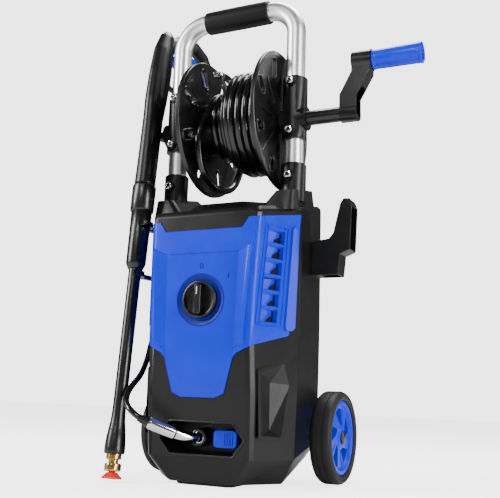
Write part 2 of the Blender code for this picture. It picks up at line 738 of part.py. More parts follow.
def build_clips():
    """Two open clips on the left side: one behind the gun's collar, one under its lower end."""
    for name, height, inner, outer in CLIPS:
        centre = lance_point(height)
        profile = sleeve(inner, outer, -CLIP_HALF, CLIP_HALF, 0.0008)
        ring = turned(name, profile, "black_plastic", centre, UPRIGHT, 18)
        root_x = -side_x(CLIP_ROOT_Y, height) - GAP
        grip = outer - 0.0010
        arm = [
            (root_x, CLIP_ROOT_Y + 0.026),
            (centre.x - grip * 0.866, centre.y + grip * 0.5),
            (centre.x, centre.y + grip),
            (root_x - 0.006, CLIP_ROOT_Y - 0.002),
            (root_x, CLIP_ROOT_Y + 0.004),
        ]
        join(ring, prism(name + "_arm", arm, height - CLIP_HALF + 0.001, height + CLIP_HALF - 0.001))
        mouth = [(0.002, 0.002)]
        mouth += [(0.05 * math.cos(math.radians(a)), 0.05 * math.sin(math.radians(a))) for a in CLIP_MOUTH]
        cut(ring, prism(name + "_mouth", mouth, -0.02, 0.02, None, centre))


# ---- wheels ------------------------------------------------------------------------------------------------
def spoke_window(name, index, place):
    """One curved opening between two spokes."""
    start = 2 * math.pi * index / 5
    inner = [(0.022, start + math.radians(a)) for a in (8, 40)]
    outer = [(0.0490, start + math.radians(a)) for a in (66, 47, 27)]
    outline = [(r * math.cos(a), r * math.sin(a)) for r, a in inner + outer]
    return prism(name, outline, -0.05, 0.05, None, place, ALONG_X)


def build_wheels():
    middle = (WHEEL_IN_X + WHEEL_OUT_X) / 2
    half = (WHEEL_OUT_X - WHEEL_IN_X) / 2
    tyre_profile = [
        (RIM_RADIUS + GAP, -half + 0.003),
        (0.0680, -half),
        (0.0745, -half + 0.001),
        (WHEEL_RADIUS, -half + 0.007),
        (WHEEL_RADIUS, half - 0.007),
        (0.0745, half - 0.001),
        (0.0680, half),
        (RIM_RADIUS + GAP, half - 0.003),
    ]
    wheel_profile = [
        (AXLE_RADIUS + GAP, -half + 0.001),
        (0.0145, -half + 0.001),
        (0.0160, -0.006),
        (0.0520, -0.006),
        (0.0560, -half + 0.004),
        (RIM_RADIUS, -half + 0.004),
        (RIM_RADIUS, half - 0.004),
        (0.0560, half - 0.004),
        (0.0520, 0.010),
        (0.0200, 0.012),
        (0.0150, half - 0.004),
        (AXLE_RADIUS + GAP, half - 0.004),
    ]
    for side, label in ((-1, "left"), (1, "right")):
        place = (side * middle, WHEEL_Y, WHEEL_RADIUS)
        mirror = [(r, side * h) for r, h in wheel_profile]
        turned(label + "_tyre", tyre_profile, "tyre_rubber", place, ALONG_X)
        wheel = turned(label + "_wheel", mirror, "blue_plastic", place, ALONG_X)
        for index in range(5):
            cut(wheel, spoke_window(f"{label}_window_{index}", index, place))
        cap = [(0, half - 0.0035), (0.0110, half - 0.0035), (0.0110, half - 0.0015), (0.0070, half + 0.0005)]
        cap += [(0, half + 0.0010)]
        cap = [(r, side * h) for r, h in cap]
        turned(label + "_axle_cap", cap, "black_plastic", place, ALONG_X, 16)
    reach = middle + half - 0.0038
    rod("axle", AXLE_RADIUS, -reach, reach, "steel", (0, WHEEL_Y, WHEEL_RADIUS), ALONG_X, 16)


# ---- handle and reel brackets ------------------------------------------------------------------------------
BOLT_RADIUS = 0.003
LOWER_LEG_ENDS = (0.4885, 0.6080)
SOCKET_BOLT_Z = 0.520
LOWER_BOLT_Z = 0.601
UPPER_BOLT_Z = 0.692
UPPER_LEG_Z = 0.660
BEND_STEPS = 5


def handle_path():
    """The bent tube from the left leg's foot over the top to the right leg's foot."""
    corner = LEG_X - BEND_RADIUS
    points = [Vector((-LEG_X, 0, UPPER_LEG_Z))]
    for side, start, end in ((-1, 180, 90), (1, 90, 0)):
        for step in range(BEND_STEPS + 1):
            angle = math.radians(start + (end - start) * step / BEND_STEPS)
            x = side * corner + BEND_RADIUS * math.cos(angle)
            points.append(Vector((x, 0, GRIP_Z - BEND_RADIUS + BEND_RADIUS * math.sin(angle))))
    points.append(Vector((LEG_X, 0, UPPER_LEG_Z)))
    return points


def build_bolt(label, level, side, z):
    """Dome-headed bolt through a sleeve and its tube, with a nut behind, and the hole it needs."""
    front = SLEEVE_RADIUS + 0.0035
    profile = [
        (0, -front - 0.0040),
        (0.0060, -front - 0.0040),
        (0.0060, -front - GAP),
        (BOLT_RADIUS, -front - GAP),
        (BOLT_RADIUS, front + GAP),
        (0.0065, front + GAP),
        (0.0050, front + 0.0038),
        (0, front + 0.0050),
    ]
    place = (side * LEG_X, 0, z)
    turned(f"{label}_{level}_bolt", profile, "steel", place, FRONT_VIEW, 8)
    hole = rod(f"{label}_{level}_bolt_hole", BOLT_RADIUS + 2 * GAP, -0.04, 0.04, None, place, FRONT_VIEW, 8)
    pad = prism(f"{label}_{level}_pad", circle(0.0092, 6), -front, front, None, place, FRONT_VIEW)
    return hole, pad


def handle_rings():
    """Rings square to the handle's path, which lies in the plane y = 0."""
    path = handle_path()
    rings = []
    for i, point in enumerate(path):
        heading = (path[min(i + 1, len(path) - 1)] - path[max(i - 1, 0)]).normalized()
        aside = heading.cross(Vector((0, 1, 0)))
        rings.append([point + aside * x + Vector((0, y, 0)) for x, y in circle(TUBE_RADIUS, 12)])
    return rings


def build_handle():
    handle = skin("handle_tube", handle_rings(), "aluminium")
    foam = sleeve(TUBE_RADIUS + GAP, 0.0215, -GRIP_HALF, GRIP_HALF, 0.002)
    turned("handle_grip", foam, "foam", (0, 0, GRIP_Z), ALONG_X, 16)
    for side, label in ((-1, "left"), (1, "right")):
        place = (side * LEG_X, 0, 0)
        bolts = {}
        for level, z in (("socket", SOCKET_BOLT_Z), ("lower", LOWER_BOLT_Z), ("upper", UPPER_BOLT_Z)):
            bolts[level] = build_bolt(label, level, side, z)
        cut(handle, bolts["upper"][0])
        pipe = [(TUBE_RADIUS - TUBE_WALL, z) for z in LOWER_LEG_ENDS]
        pipe += [(TUBE_RADIUS, z) for z in reversed(LOWER_LEG_ENDS)]
        leg = turned(label + "_lower_tube", pipe, "aluminium", place, steps=16)
        cut(leg, bolts["socket"][0], bolts["lower"][0])
        socket_profile = [
            (0, SOCKET_BASE_Z),
            (SLEEVE_RADIUS, SOCKET_BASE_Z),
            (SLEEVE_RADIUS, SOCKET_TOP_Z - 0.0015),
            (SLEEVE_RADIUS - 0.0015, SOCKET_TOP_Z),
            (0, SOCKET_TOP_Z),
        ]
        socket = turned(label + "_socket", socket_profile, "black_plastic", place, steps=16)
        join(socket, bolts["socket"][1])
        tube_foot = LOWER_LEG_ENDS[0] - GAP
        clear = rod(label + "_socket_clear", TUBE_RADIUS + GAP, tube_foot, 0.560, None, place, steps=16)
        cut(socket, clear, bolts["socket"][0])
        build_bracket(side, label, place, bolts)


def build_bracket(side, label, place, bolts):
    """Sleeve that joins the lower tube to the handle and carries the reel's shaft between them."""
    profile = [
        (0, 0.5880),
        (SLEEVE_RADIUS - 0.0015, 0.5880),
        (SLEEVE_RADIUS, 0.5895),
        (SLEEVE_RADIUS, 0.7025),
        (SLEEVE_RADIUS - 0.0015, 0.7040),
        (0, 0.7040),
    ]
    bracket = turned(label + "_reel_bracket", profile, "black_plastic", place, steps=16)
    boss_place = (side * LEG_X, 0, REEL_Z)
    inward = -side * 0.0225
    outward = side * 0.0245
    near, far = min(inward, outward), max(inward, outward)
    boss = rod(label + "_boss", 0.0215, near, far, None, boss_place, ALONG_X, 16)
    join(bracket, boss, bolts["lower"][1], bolts["upper"][1])
    tube_bore = TUBE_RADIUS + GAP
    lower = rod(label + "_lower_bore", tube_bore, 0.5700, LOWER_LEG_ENDS[1] + GAP, None, place, steps=16)
    upper = rod(label + "_upper_bore", tube_bore, UPPER_LEG_Z - GAP, 0.7200, None, place, steps=12)
    shaft = rod(label + "_shaft_bore", SHAFT_RADIUS + GAP, -0.05, 0.05, None, boss_place, ALONG_X, 16)
    cut(bracket, bolts["lower"][0], bolts["upper"][0], lower, upper, shaft)


# ---- hose reel ---------------------------------------------------------------------------------------------
WINDOW_COUNT = 8
WINDOW_RADIUS = 0.094       # from the reel's axis to the middle of each oval hole


def flange_window(name, index):
    """One radial oval hole near the flanges' rims, through both flanges."""
    turn = Matrix.Rotation(2 * math.pi * (index + 0.5) / WINDOW_COUNT, 2)
    oval = rounded(rectangle(0.032, 0.013, (WINDOW_RADIUS, 0.0)), 0.0062, 2)
    outline = [tuple(turn @ Vector(point)) for point in oval]
    return prism(name, outline, LEFT_FLANGE_X - 0.020, RIGHT_FLANGE_X + 0.020, None, (0, 0, REEL_Z), ALONG_X)


def build_reel():
    axis = (0, 0, REEL_Z)
    shaft_bore = SHAFT_RADIUS + GAP
    drum = sleeve(DRUM_RADIUS - 0.004, DRUM_RADIUS, LEFT_FLANGE_X + GAP, RIGHT_FLANGE_X - 0.0083)
    turned("reel_drum", drum, "black_plastic", axis, ALONG_X)
    # The left flange's hub is flat; its rim is a round bead.
    left = [
        (shaft_bore, -0.0520),
        (0.0300, -0.0520),
        (0.0560, -0.0490),
        (0.1150, -0.0530),
        (0.1200, -0.0560),
        (FLANGE_RADIUS, -0.0540),
        (FLANGE_RADIUS, -0.0470),
        (0.1130, -0.0485),
        (0.0560, LEFT_FLANGE_X),
        (shaft_bore, LEFT_FLANGE_X),
    ]
    right = [
        (shaft_bore, 0.0820),
        (0.0560, 0.0820),
        (0.1130, 0.0895),
        (FLANGE_RADIUS, 0.0885),
        (FLANGE_RADIUS, 0.0942),
        (0.1200, 0.0953),
        (0.1150, 0.0940),
        (0.0560, 0.0865),
        (0.0300, 0.0905),
        (shaft_bore, 0.0905),
    ]
    for label, profile in (("left", left), ("right", right)):
        flange = turned(label + "_flange", profile, "black_plastic", axis, ALONG_X)
        for index in range(WINDOW_COUNT):
            cut(flange, flange_window(f"{label}_oval_{index}", index))
    rod("reel_shaft", SHAFT_RADIUS, -0.1385, 0.2045, "black_plastic", axis, ALONG_X, 16)
    coil = [
        (DRUM_RADIUS + GAP, -0.0300),
        (0.0640, -0.0300),
        (0.0640, 0.0020),
        (0.0790, 0.0100),
        (COIL_RADIUS, 0.0240),
        (COIL_RADIUS, 0.0812),
        (DRUM_RADIUS + GAP, 0.0812),
    ]
    turned("wound_hose", coil, "hose_rubber", axis, ALONG_X)


TAIL_ROUTE = (
    (-0.0320, -0.0710, 0.6270),
    (-0.0330, -0.0740, 0.6000),
    (-0.0340, -0.0700, 0.5650),
    (-0.0330, -0.0540, 0.5330),
    (-0.0300, -0.0250, 0.5150),
    (-0.0270, 0.0100, 0.5130),
    (-0.0250, 0.0450, 0.5250),
    (-0.0240, 0.0700, 0.5530),
    (-0.0230, 0.0830, 0.5900),
    (-0.0220, 0.0860, 0.6300),
    (-0.0210, 0.0790, 0.6700),
    (-0.0200, 0.0590, 0.7020),
    (-0.0180, 0.0280, 0.7190),
    (-0.0160, -0.0080, 0.7230),
    (-0.0140, -0.0330, 0.7170),
)


def build_hose_tail():
    """The hose's last, slack turn beside the left flange, and its end fitting."""
    points = spline(TAIL_ROUTE, 0.018)
    tube("hose_tail", points, HOSE_RADIUS, "hose_rubber", 1)
    direction = (points[-1] - points[-2]).normalized()
    start = points[-1] + direction * GAP
    turn = direction.to_track_quat("Z", "Y").to_euler()
    profile = [(0, 0), (0.0072, 0), (0.0072, 0.014), (0.0050, 0.016), (0.0050, 0.030), (0, 0.030)]
    turned("hose_end_fitting", profile, "chrome", start, turn, 12)


# ---- crank -------------------------------------------------------------------------------------------------
ARM_HALF = 0.0145


def build_crank():
    """Z-shaped arm with an open channel in its lower outer side, a pin and a turning grip."""
    inner = [(0.2050, REEL_Z - 0.010), (0.2050, REEL_Z + 0.030)]
    inner += [(0.2260, REEL_Z + 0.070), (0.2260, CRANK_GRIP_Z)]
    outer = [(0.2580, CRANK_GRIP_Z), (0.2580, REEL_Z + 0.068)]
    outer += [(0.2350, REEL_Z + 0.026), (0.2350, REEL_Z - 0.010)]
    arm = prism("crank_arm", inner + outer, -ARM_HALF, ARM_HALF, "black_plastic", ORIGIN, FRONT_VIEW)
    lower = rod("arm_lower_boss", 0.0160, 0.2050, 0.2350, None, (0, 0, REEL_Z), ALONG_X, 16)
    upper = rod("arm_upper_boss", 0.0195, 0.2260, 0.2600, None, (0, 0, CRANK_GRIP_Z), ALONG_X, 18)
    join(arm, lower, upper)
    channel = [
        (0.2120, REEL_Z - 0.006),
        (0.2120, REEL_Z + 0.026),
        (0.2240, REEL_Z + 0.044),
        (0.2600, REEL_Z + 0.044),
        (0.2600, REEL_Z - 0.006),
    ]
    cut(arm, prism("arm_channel", channel, -ARM_HALF + 0.003, ARM_HALF - 0.003, None, ORIGIN, FRONT_VIEW))
    pin_hole = rod("pin_hole", 0.0053, 0.2200, 0.2700, None, (0, 0, CRANK_GRIP_Z), ALONG_X, 12)
    cut(arm, pin_hole)
    pin = [(0, 0.2240), (0.0090, 0.2240), (0.0090, 0.2257), (0.0050, 0.2257), (0.0050, 0.3400), (0, 0.3400)]
    turned("crank_pin", pin, "steel", (0, 0, CRANK_GRIP_Z), ALONG_X, 12)
    grip = [
        (0.0053, 0.2603),
        (0.0160, 0.2603),
        (0.0172, 0.2620),
        (0.0180, 0.3400),
        (0.0182, 0.3450),
        (0.0168, 0.3465),
        (0.0120, 0.3465),
        (0.0120, 0.3420),
        (0.0053, 0.3420),
    ]
    turned("crank_grip", grip, "blue_plastic", (0, 0, CRANK_GRIP_Z), ALONG_X, 18)


# ---- hose from the pump to the reel ------------------------------------------------------------------------
SWIVEL_X = -0.1500
NIPPLE_DROP = Vector((0.0, 0.824, -0.566))     # the way the swivel's nipple points
NIPPLE_LENGTH = 0.0315
LEAD = 0.008                # straight start of the hose at each fitting
COUPLING_START = Vector((-0.0120, -0.0675, 0.0752))
COUPLING_END = Vector((-0.0700, -0.1290, 0.0975))
JUMPER_ROUTE = (
    (-0.0960, -0.1375, 0.1120),
    (-0.1120, -0.1290, 0.1250),
    (-0.1190, -0.1160, 0.1380),
    (-0.1205, -0.1000, 0.1530),
    (-0.1230, -0.0800, 0.1720),
    (-0.1290, -0.0520, 0.1980),
    (-0.1400, -0.0230, 0.2300),
    (-0.1475, 0.0060, 0.2700),
    (-0.1485, 0.0300, 0.3200),
    (-0.1485, 0.0440, 0.3800),
    (-0.1480, 0.0510, 0.4400),
    (-0.1480, 0.0555, 0.5000),
    (-0.1485, 0.0565, 0.5480),
    (-0.1495, 0.0510, 0.5800),
)


def fitting_turn(direction):
    """The rotation that points local z along a direction."""
    return direction.to_track_quat("Z", "Y").to_euler()


def build_jumper():
    swivel = Vector((SWIVEL_X, 0, REEL_Z))
    entry = (COUPLING_END - COUPLING_START).normalized()
    nipple_end = swivel + NIPPLE_DROP * NIPPLE_LENGTH
    route = [COUPLING_END + entry * LEAD, *JUMPER_ROUTE, nipple_end + NIPPLE_DROP * LEAD]
    ends = COUPLING_END + entry * GAP, nipple_end + NIPPLE_DROP * GAP
    tube("jumper_hose", [ends[0], *spline(route, 0.018), ends[1]], PIPE_RADIUS, "hose_rubber", 1)
    length = (COUPLING_END - COUPLING_START).length
    profile = [
        (0, 0),
        (0.0035, 0),
        (0.0055, 0.012),
        (0.0085, 0.034),
        (0.0088, length - 0.030),
        (0.0098, length - 0.028),
        (0.0098, length - 0.002),
        (0.0080, length),
        (0, length),
    ]
    turned("jumper_coupling", profile, "chrome", COUPLING_START, fitting_turn(entry), 16)
    body = rod("swivel_elbow", 0.0100, -0.1565, -0.1428, "black_plastic", (0, 0, REEL_Z), ALONG_X, 16)
    stem = rod("swivel_stem", 0.0085, -0.1440, -0.1388, None, (0, 0, REEL_Z), ALONG_X, 16)
    nipple = rod("swivel_nipple", 0.0062, 0.004, NIPPLE_LENGTH, None, swivel, fitting_turn(NIPPLE_DROP), 12)
    join(body, stem, nipple)


# ---- spray gun and lance, modelled along the lance's own axis ----------------------------------------------
def hang(obj):
    """Move an object from the lance's own frame to where the gun hangs."""
    obj.matrix_basis = LANCE_FRAME @ obj.matrix_basis
    return obj


def ellipse(half_x, half_y, centre_y, height, count=14):
    turns = [2 * math.pi * i / count for i in range(count)]
    return [(half_x * math.cos(a), centre_y + half_y * math.sin(a), height) for a in turns]


SWEEP_SIDES = 10


def swept(name, path, finish=None):
    """Skin ellipses across a path in the gun's own YZ plane: (y, z, half width, half height)."""
    rings = []
    for i, (y, z, half_x, half_r) in enumerate(path):
        before = path[max(0, i - 1)]
        after = path[min(len(path) - 1, i + 1)]
        heading = Vector((after[0] - before[0], after[1] - before[1])).normalized()
        normal = Vector((-heading.y, heading.x))
        ring = []
        for k in range(SWEEP_SIDES):
            angle = 2 * math.pi * k / SWEEP_SIDES
            across = half_x * math.cos(angle)
            lift = half_r * math.sin(angle)
            ring.append((across, y + normal.x * lift, z + normal.y * lift))
        rings.append(ring)
    return skin(name, rings, finish)


SEAM_A = lance_length(0.463)
SEAM_B = lance_length(0.516)


def build_gun():
    body = [
        (0.0190, 0.0200, 0.000, SEAM_B + GAP),
        (0.0182, 0.0205, 0.001, SEAM_B + 0.050),
        (0.0168, 0.0215, 0.002, SEAM_B + 0.140),
        (0.0176, 0.0250, 0.004, SEAM_B + 0.180),
        (0.0168, 0.0265, 0.008, SEAM_B + 0.240),
        (0.0150, 0.0240, 0.011, SEAM_B + 0.292),
        (0.0110, 0.0170, 0.016, SEAM_B + 0.328),
        (0.0050, 0.0080, 0.020, SEAM_B + 0.341),
    ]
    gun = skin("gun_body", [ellipse(*section) for section in body], "black_plastic")
    grip_path = [
        (0.014, 0.800, 0.0120, 0.0140),
        (0.034, 0.838, 0.0130, 0.0140),
        (0.062, 0.861, 0.0138, 0.0140),
        (0.096, 0.868, 0.0140, 0.0140),
        (0.128, 0.857, 0.0138, 0.0140),
        (0.150, 0.832, 0.0130, 0.0135),
        (0.158, 0.800, 0.0125, 0.0130),
        (0.158, 0.778, 0.0125, 0.0130),
    ]
    guard_path = [
        (0.152, 0.800, 0.0070, 0.0055),
        (0.131, 0.768, 0.0070, 0.0050),
        (0.102, 0.748, 0.0070, 0.0050),
        (0.060, 0.740, 0.0070, 0.0050),
        (0.016, 0.742, 0.0070, 0.0055),
    ]
    join(gun, hang(swept("gun_grip", grip_path)), hang(swept("gun_guard", guard_path)))
    hang(gun)
    outline = [
        (0.040, 0.798),
        (0.042, 0.818),
        (0.062, 0.834),
        (0.098, 0.838),
        (0.124, 0.824),
        (0.136, 0.802),
        (0.118, 0.788),
        (0.062, 0.788),
    ]
    hang(prism("gun_trigger", rounded(outline, 0.004, 2), -0.0075, 0.0075, "blue_plastic", ORIGIN, SIDE_VIEW))
    lock = rounded([(0.086, 0.7832), (0.114, 0.7832), (0.114, 0.7877), (0.086, 0.7877)], 0.001, 1)
    hang(prism("trigger_lock", lock, -0.0050, 0.0050, "black_plastic", ORIGIN, SIDE_VIEW))
    inlet = [(0, 0.7480), (0.0065, 0.7480), (0.0065, 0.7580), (0.0090, 0.7600), (0.0090, 0.7777), (0, 0.7777)]
    hang(turned("gun_inlet", inlet, "brass", (0, 0.158, 0), UPRIGHT, 16))


def build_lance():
    nut = [
        (0, SEAM_A + GAP),
        (0.0190, SEAM_A + GAP),
        (0.0212, SEAM_A + 0.004),
        (0.0215, SEAM_B - 0.004),
        (0.0200, SEAM_B),
        (0, SEAM_B),
    ]
    collar_low = lance_length(0.357)
    collar = [
        (0, collar_low),
        (0.0136, collar_low),
        (0.0176, collar_low + 0.010),
        (0.0182, SEAM_A - 0.040),
        (0.0188, SEAM_A),
        (0, SEAM_A),
    ]
    lance = [
        (0, 0.0400),
        (0.0164, 0.0400),
        (0.0172, 0.0430),
        (0.0167, 0.0580),
        (0.0150, 0.0740),
        (0.0124, 0.0920),
        (0.0112, 0.1150),
        (0.0112, collar_low - GAP),
        (0, collar_low - GAP),
    ]
    body = [
        (0, 0.0300),
        (0.0060, 0.0300),
        (0.0060, 0.0120),
        (0.0082, 0.0120),
        (0.0082, 0.0305),
        (0.0124, 0.0315),
        (0.0124, 0.0397),
        (0, 0.0397),
    ]
    ring = sleeve(0.0085, 0.0138, 0.0125, 0.0252, 0.0015)
    tip = [
        (0, 0.0005),
        (0.0150, 0.0000),
        (0.0172, 0.0010),
        (0.0172, 0.0035),
        (0.0088, 0.0105),
        (0.0057, 0.0110),
        (0.0057, 0.0290),
        (0, 0.0290),
    ]
    hang(turned("lance_nut", nut, "black_plastic", steps=20))
    hang(turned("lance_collar", collar, "black_plastic", steps=20))
    hang(turned("lance_tube", lance, "black_plastic", steps=16))
    hang(turned("coupler_body", body, "brass", steps=16))
    hang(turned("coupler_collar", ring, "brass", steps=16))
    hang(turned("nozzle_tip", tip, "red_plastic", steps=16))


# ---- motor and pump inside the housing ---------------------------------------------------------------------
MOTOR_Y = 0.030


def build_drive():
    place = (0, MOTOR_Y, 0)
    stator = [
        (0.0080, 0.1800),
        (0.0560, 0.1800),
        (0.0560, 0.1860),
        (0.0500, 0.1900),
        (0.0500, 0.3200),
        (0.0350, 0.3200),
        (0.0350, 0.1950),
        (0.0080, 0.1950),
    ]
    turned("motor_stator", stator, "cast_aluminium", place, steps=16)
    rotor = [
        (0, 0.1500),
        (0.0070, 0.1500),
        (0.0070, 0.2000),
        (0.0330, 0.2000),
        (0.0330, 0.3100),
        (0.0070, 0.3100),
        (0.0070, 0.3300),
        (0.0440, 0.3300),
        (0.0440, 0.3360),
        (0, 0.3360),
    ]
    turned("motor_rotor", rotor, "steel", place, steps=16)
    pump = block("pump", (-0.046, -0.010, 0.064), (0.046, 0.070, 0.1790), "cast_aluminium")
    cut(pump, rod("rotor_bore", 0.0280, 0.1450, 0.2000, None, place, steps=12))
    for name, x in (("outlet_stub", OUTLET_X), ("inlet_stub", INLET_X)):
        join(pump, rod(name, 0.0062, 0.005, 0.0425, None, (x, 0, PORT_Z), FRONT_VIEW, 16))


build_shells()
build_top_cover()
build_front_panel()
build_knob()
build_connections()
build_foot()
build_cord_hook()
build_clips()
build_wheels()
build_handle()
build_reel()
build_hose_tail()
build_crank()
build_jumper()
build_gun()
build_lance()
build_drive()
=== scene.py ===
"""Looks of the upright pressure washer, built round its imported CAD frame. All lengths are in metres."""
import math

import bmesh
import bpy
import numpy as np
from mathutils import Matrix, Vector


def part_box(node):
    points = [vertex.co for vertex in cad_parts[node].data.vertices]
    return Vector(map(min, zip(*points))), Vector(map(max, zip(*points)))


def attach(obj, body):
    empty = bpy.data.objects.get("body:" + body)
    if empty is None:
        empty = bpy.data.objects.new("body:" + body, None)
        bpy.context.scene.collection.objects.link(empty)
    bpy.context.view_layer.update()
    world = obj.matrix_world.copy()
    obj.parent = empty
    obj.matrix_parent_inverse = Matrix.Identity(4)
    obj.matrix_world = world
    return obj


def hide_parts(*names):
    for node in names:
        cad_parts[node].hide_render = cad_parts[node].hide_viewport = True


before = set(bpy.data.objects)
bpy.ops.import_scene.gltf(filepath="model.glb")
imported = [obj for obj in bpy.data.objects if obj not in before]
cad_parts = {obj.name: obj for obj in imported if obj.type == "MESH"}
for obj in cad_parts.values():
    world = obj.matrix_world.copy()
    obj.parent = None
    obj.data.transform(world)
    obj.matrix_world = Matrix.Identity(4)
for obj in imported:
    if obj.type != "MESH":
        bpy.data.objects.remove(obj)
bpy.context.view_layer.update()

# ---- positions shared with the CAD source --------------------------------------------------------
REEL_Z = 0.627
GRIP_Z = 0.845
LEG_X = 0.118
UPPER_LEG_Z = 0.660
BEND_RADIUS = 0.052
TUBE_RADIUS = 0.0172
CRANK_GRIP_Z = 0.718
WHEEL_X = 0.164
WHEEL_Y = 0.100
WHEEL_Z = 0.0785
KNOB_Z = 0.296
HOSE_RADIUS = 0.0065
PIPE_RADIUS = 0.005
COUPLING_START = Vector((-0.0120, -0.0675, 0.0752))
COUPLING_END = Vector((-0.0700, -0.1290, 0.0975))
SWIVEL = Vector((-0.1500, 0.0, REEL_Z))
NIPPLE_DROP = Vector((0.0, 0.824, -0.566))    # the way the swivel's nipple points
NIPPLE_LENGTH = 0.0315
LANCE_TIP = Vector((-0.140, -0.120, 0.004))
LANCE_TOP = Vector((-0.165, -0.008, 0.832))
GUN_TWIST = math.radians(-10)
OUTLET = (-0.0120, 0.0, 0.0750)
RECESS_MIDDLE = (0.006, 0.075)     # x and z
LEAD = 0.008                # how far a cord runs straight out of its ends
GAP = 0.0003                # clearance between two pieces that meet
JUMPER_ROUTE = (
    (-0.0955, -0.1370, 0.1125),
    (-0.1130, -0.1295, 0.1265),
    (-0.1210, -0.1170, 0.1405),
    (-0.1225, -0.1020, 0.1545),
    (-0.1230, -0.0795, 0.1715),
    (-0.1290, -0.0520, 0.1980),
    (-0.1400, -0.0230, 0.2300),
    (-0.1475, 0.0060, 0.2700),
    (-0.1485, 0.0300, 0.3200),
    (-0.1485, 0.0440, 0.3800),
    (-0.1480, 0.0510, 0.4400),
    (-0.1480, 0.0555, 0.5000),
    (-0.1485, 0.0565, 0.5480),
    (-0.1495, 0.0510, 0.5800),
)
TAIL_ROUTE = (
    (-0.0330, -0.0740, 0.6000),
    (-0.0340, -0.0700, 0.5650),
    (-0.0330, -0.0540, 0.5330),
    (-0.0300, -0.0250, 0.5150),
    (-0.0270, 0.0100, 0.5130),
    (-0.0250, 0.0450, 0.5250),
    (-0.0240, 0.0700, 0.5530),
    (-0.0230, 0.0830, 0.5900),
    (-0.0220, 0.0860, 0.6300),
    (-0.0210, 0.0790, 0.6700),
    (-0.0200, 0.0590, 0.7020),
    (-0.0180, 0.0280, 0.7190),
    (-0.0160, -0.0080, 0.7230),
    (-0.0140, -0.0330, 0.7170),
)


# ---- camera --------------------------------------------------------------------------------------
CAMERA_PLACE = (0.60075, -1.19613, 0.14164)
CAMERA_TURN = math.radians(25.17)     # round to the machine's right
CAMERA_PITCH = math.radians(100.98)   # a little above level, seen from low down
CAMERA_ROLL = math.radians(1.88)
SENSOR = 36                 # millimetres
LENS = 55.021               # millimetres


def make_camera():
    data = bpy.data.cameras.new("camera")
    data.lens = LENS
    data.sensor_width = SENSOR
    camera = bpy.data.objects.new("camera", data)
    turn = Matrix.Rotation(CAMERA_TURN, 4, "Z")
    pitch = Matrix.Rotation(CAMERA_PITCH, 4, "X")
    roll = Matrix.Rotation(CAMERA_ROLL, 4, "Z")
    camera.matrix_world = Matrix.Translation(CAMERA_PLACE) @ turn @ pitch @ roll
    bpy.context.scene.collection.objects.link(camera)
    bpy.context.scene.camera = camera


make_camera()


# ---- materials -----------------------------------------------------------------------------------
# name: darker colour, lighter colour, lowest and highest roughness, metallic, grain size, grain height, coat
FINISHES = {
    "black_plastic": ((0.002, 0.002, 0.0022), (0.005, 0.005, 0.0055), 0.30, 0.42, 0.0, 0.0011, 0.00006, 0.0),
    "satin_black": ((0.001, 0.001, 0.0012), (0.003, 0.003, 0.0034), 0.24, 0.38, 0.0, 0.0016, 0.00004, 0.1),
    "blue_plastic": ((0.0, 0.010, 0.54), (0.0, 0.015, 0.70), 0.26, 0.38, 0.0, 0.0013, 0.00005, 0.0),
    # dark_blue: the raised marks' own colour, and painted shade as the liner in the knob's dish
    "dark_blue": ((0.0, 0.003, 0.16), (0.0, 0.006, 0.24), 0.36, 0.50, 0.0, 0.0013, 0.00005, 0.0),
    "foam": ((0.001, 0.001, 0.001), (0.003, 0.003, 0.003), 0.40, 0.56, 0.0, 0.0020, 0.00045, 0.0),
    "hose": ((0.001, 0.001, 0.0012), (0.003, 0.003, 0.0034), 0.14, 0.26, 0.0, 0.0030, 0.00005, 0.1),
    "tyre": ((0.003, 0.003, 0.003), (0.007, 0.0068, 0.0066), 0.46, 0.64, 0.0, 0.0018, 0.00010, 0.0),
    "aluminium": ((0.78, 0.79, 0.80), (0.88, 0.88, 0.90), 0.30, 0.44, 1.0, 0.0006, 0.00001, 0.0),
    "steel": ((0.50, 0.50, 0.51), (0.64, 0.64, 0.66), 0.20, 0.36, 1.0, 0.0010, 0.00002, 0.0),
    "chrome": ((0.82, 0.82, 0.84), (0.92, 0.92, 0.94), 0.05, 0.14, 1.0, 0.0020, 0.00001, 0.0),
    "brass": ((0.62, 0.40, 0.13), (0.80, 0.55, 0.22), 0.18, 0.34, 1.0, 0.0012, 0.00002, 0.0),
    "red_plastic": ((0.70, 0.006, 0.004), (0.85, 0.012, 0.008), 0.30, 0.44, 0.0, 0.0012, 0.00004, 0.1),
    "cast_aluminium": ((0.38, 0.39, 0.40), (0.56, 0.57, 0.58), 0.38, 0.60, 1.0, 0.0009, 0.00020, 0.0),
    "mark_white": ((0.55, 0.56, 0.58), (0.75, 0.76, 0.78), 0.40, 0.55, 0.0, 0.0010, 0.00003, 0.0),
}
# how strongly the duller finishes reflect; the others keep the usual half
SPECULAR = {"blue_plastic": 0.22, "dark_blue": 0.22, "black_plastic": 0.32, "foam": 0.20, "tyre": 0.30}
PLAIN_SPECULAR = 0.5
COAT_ROUGHNESS = 0.22
PATCH_SIZE = 0.045          # size of the soft patches of colour and gloss
PATCH_SHARE = 0.65          # how far the gloss follows the patches; it follows the grain for the rest
SCRATCH_STRETCH = 14.0      # drawn metal is streaked along the tube this much


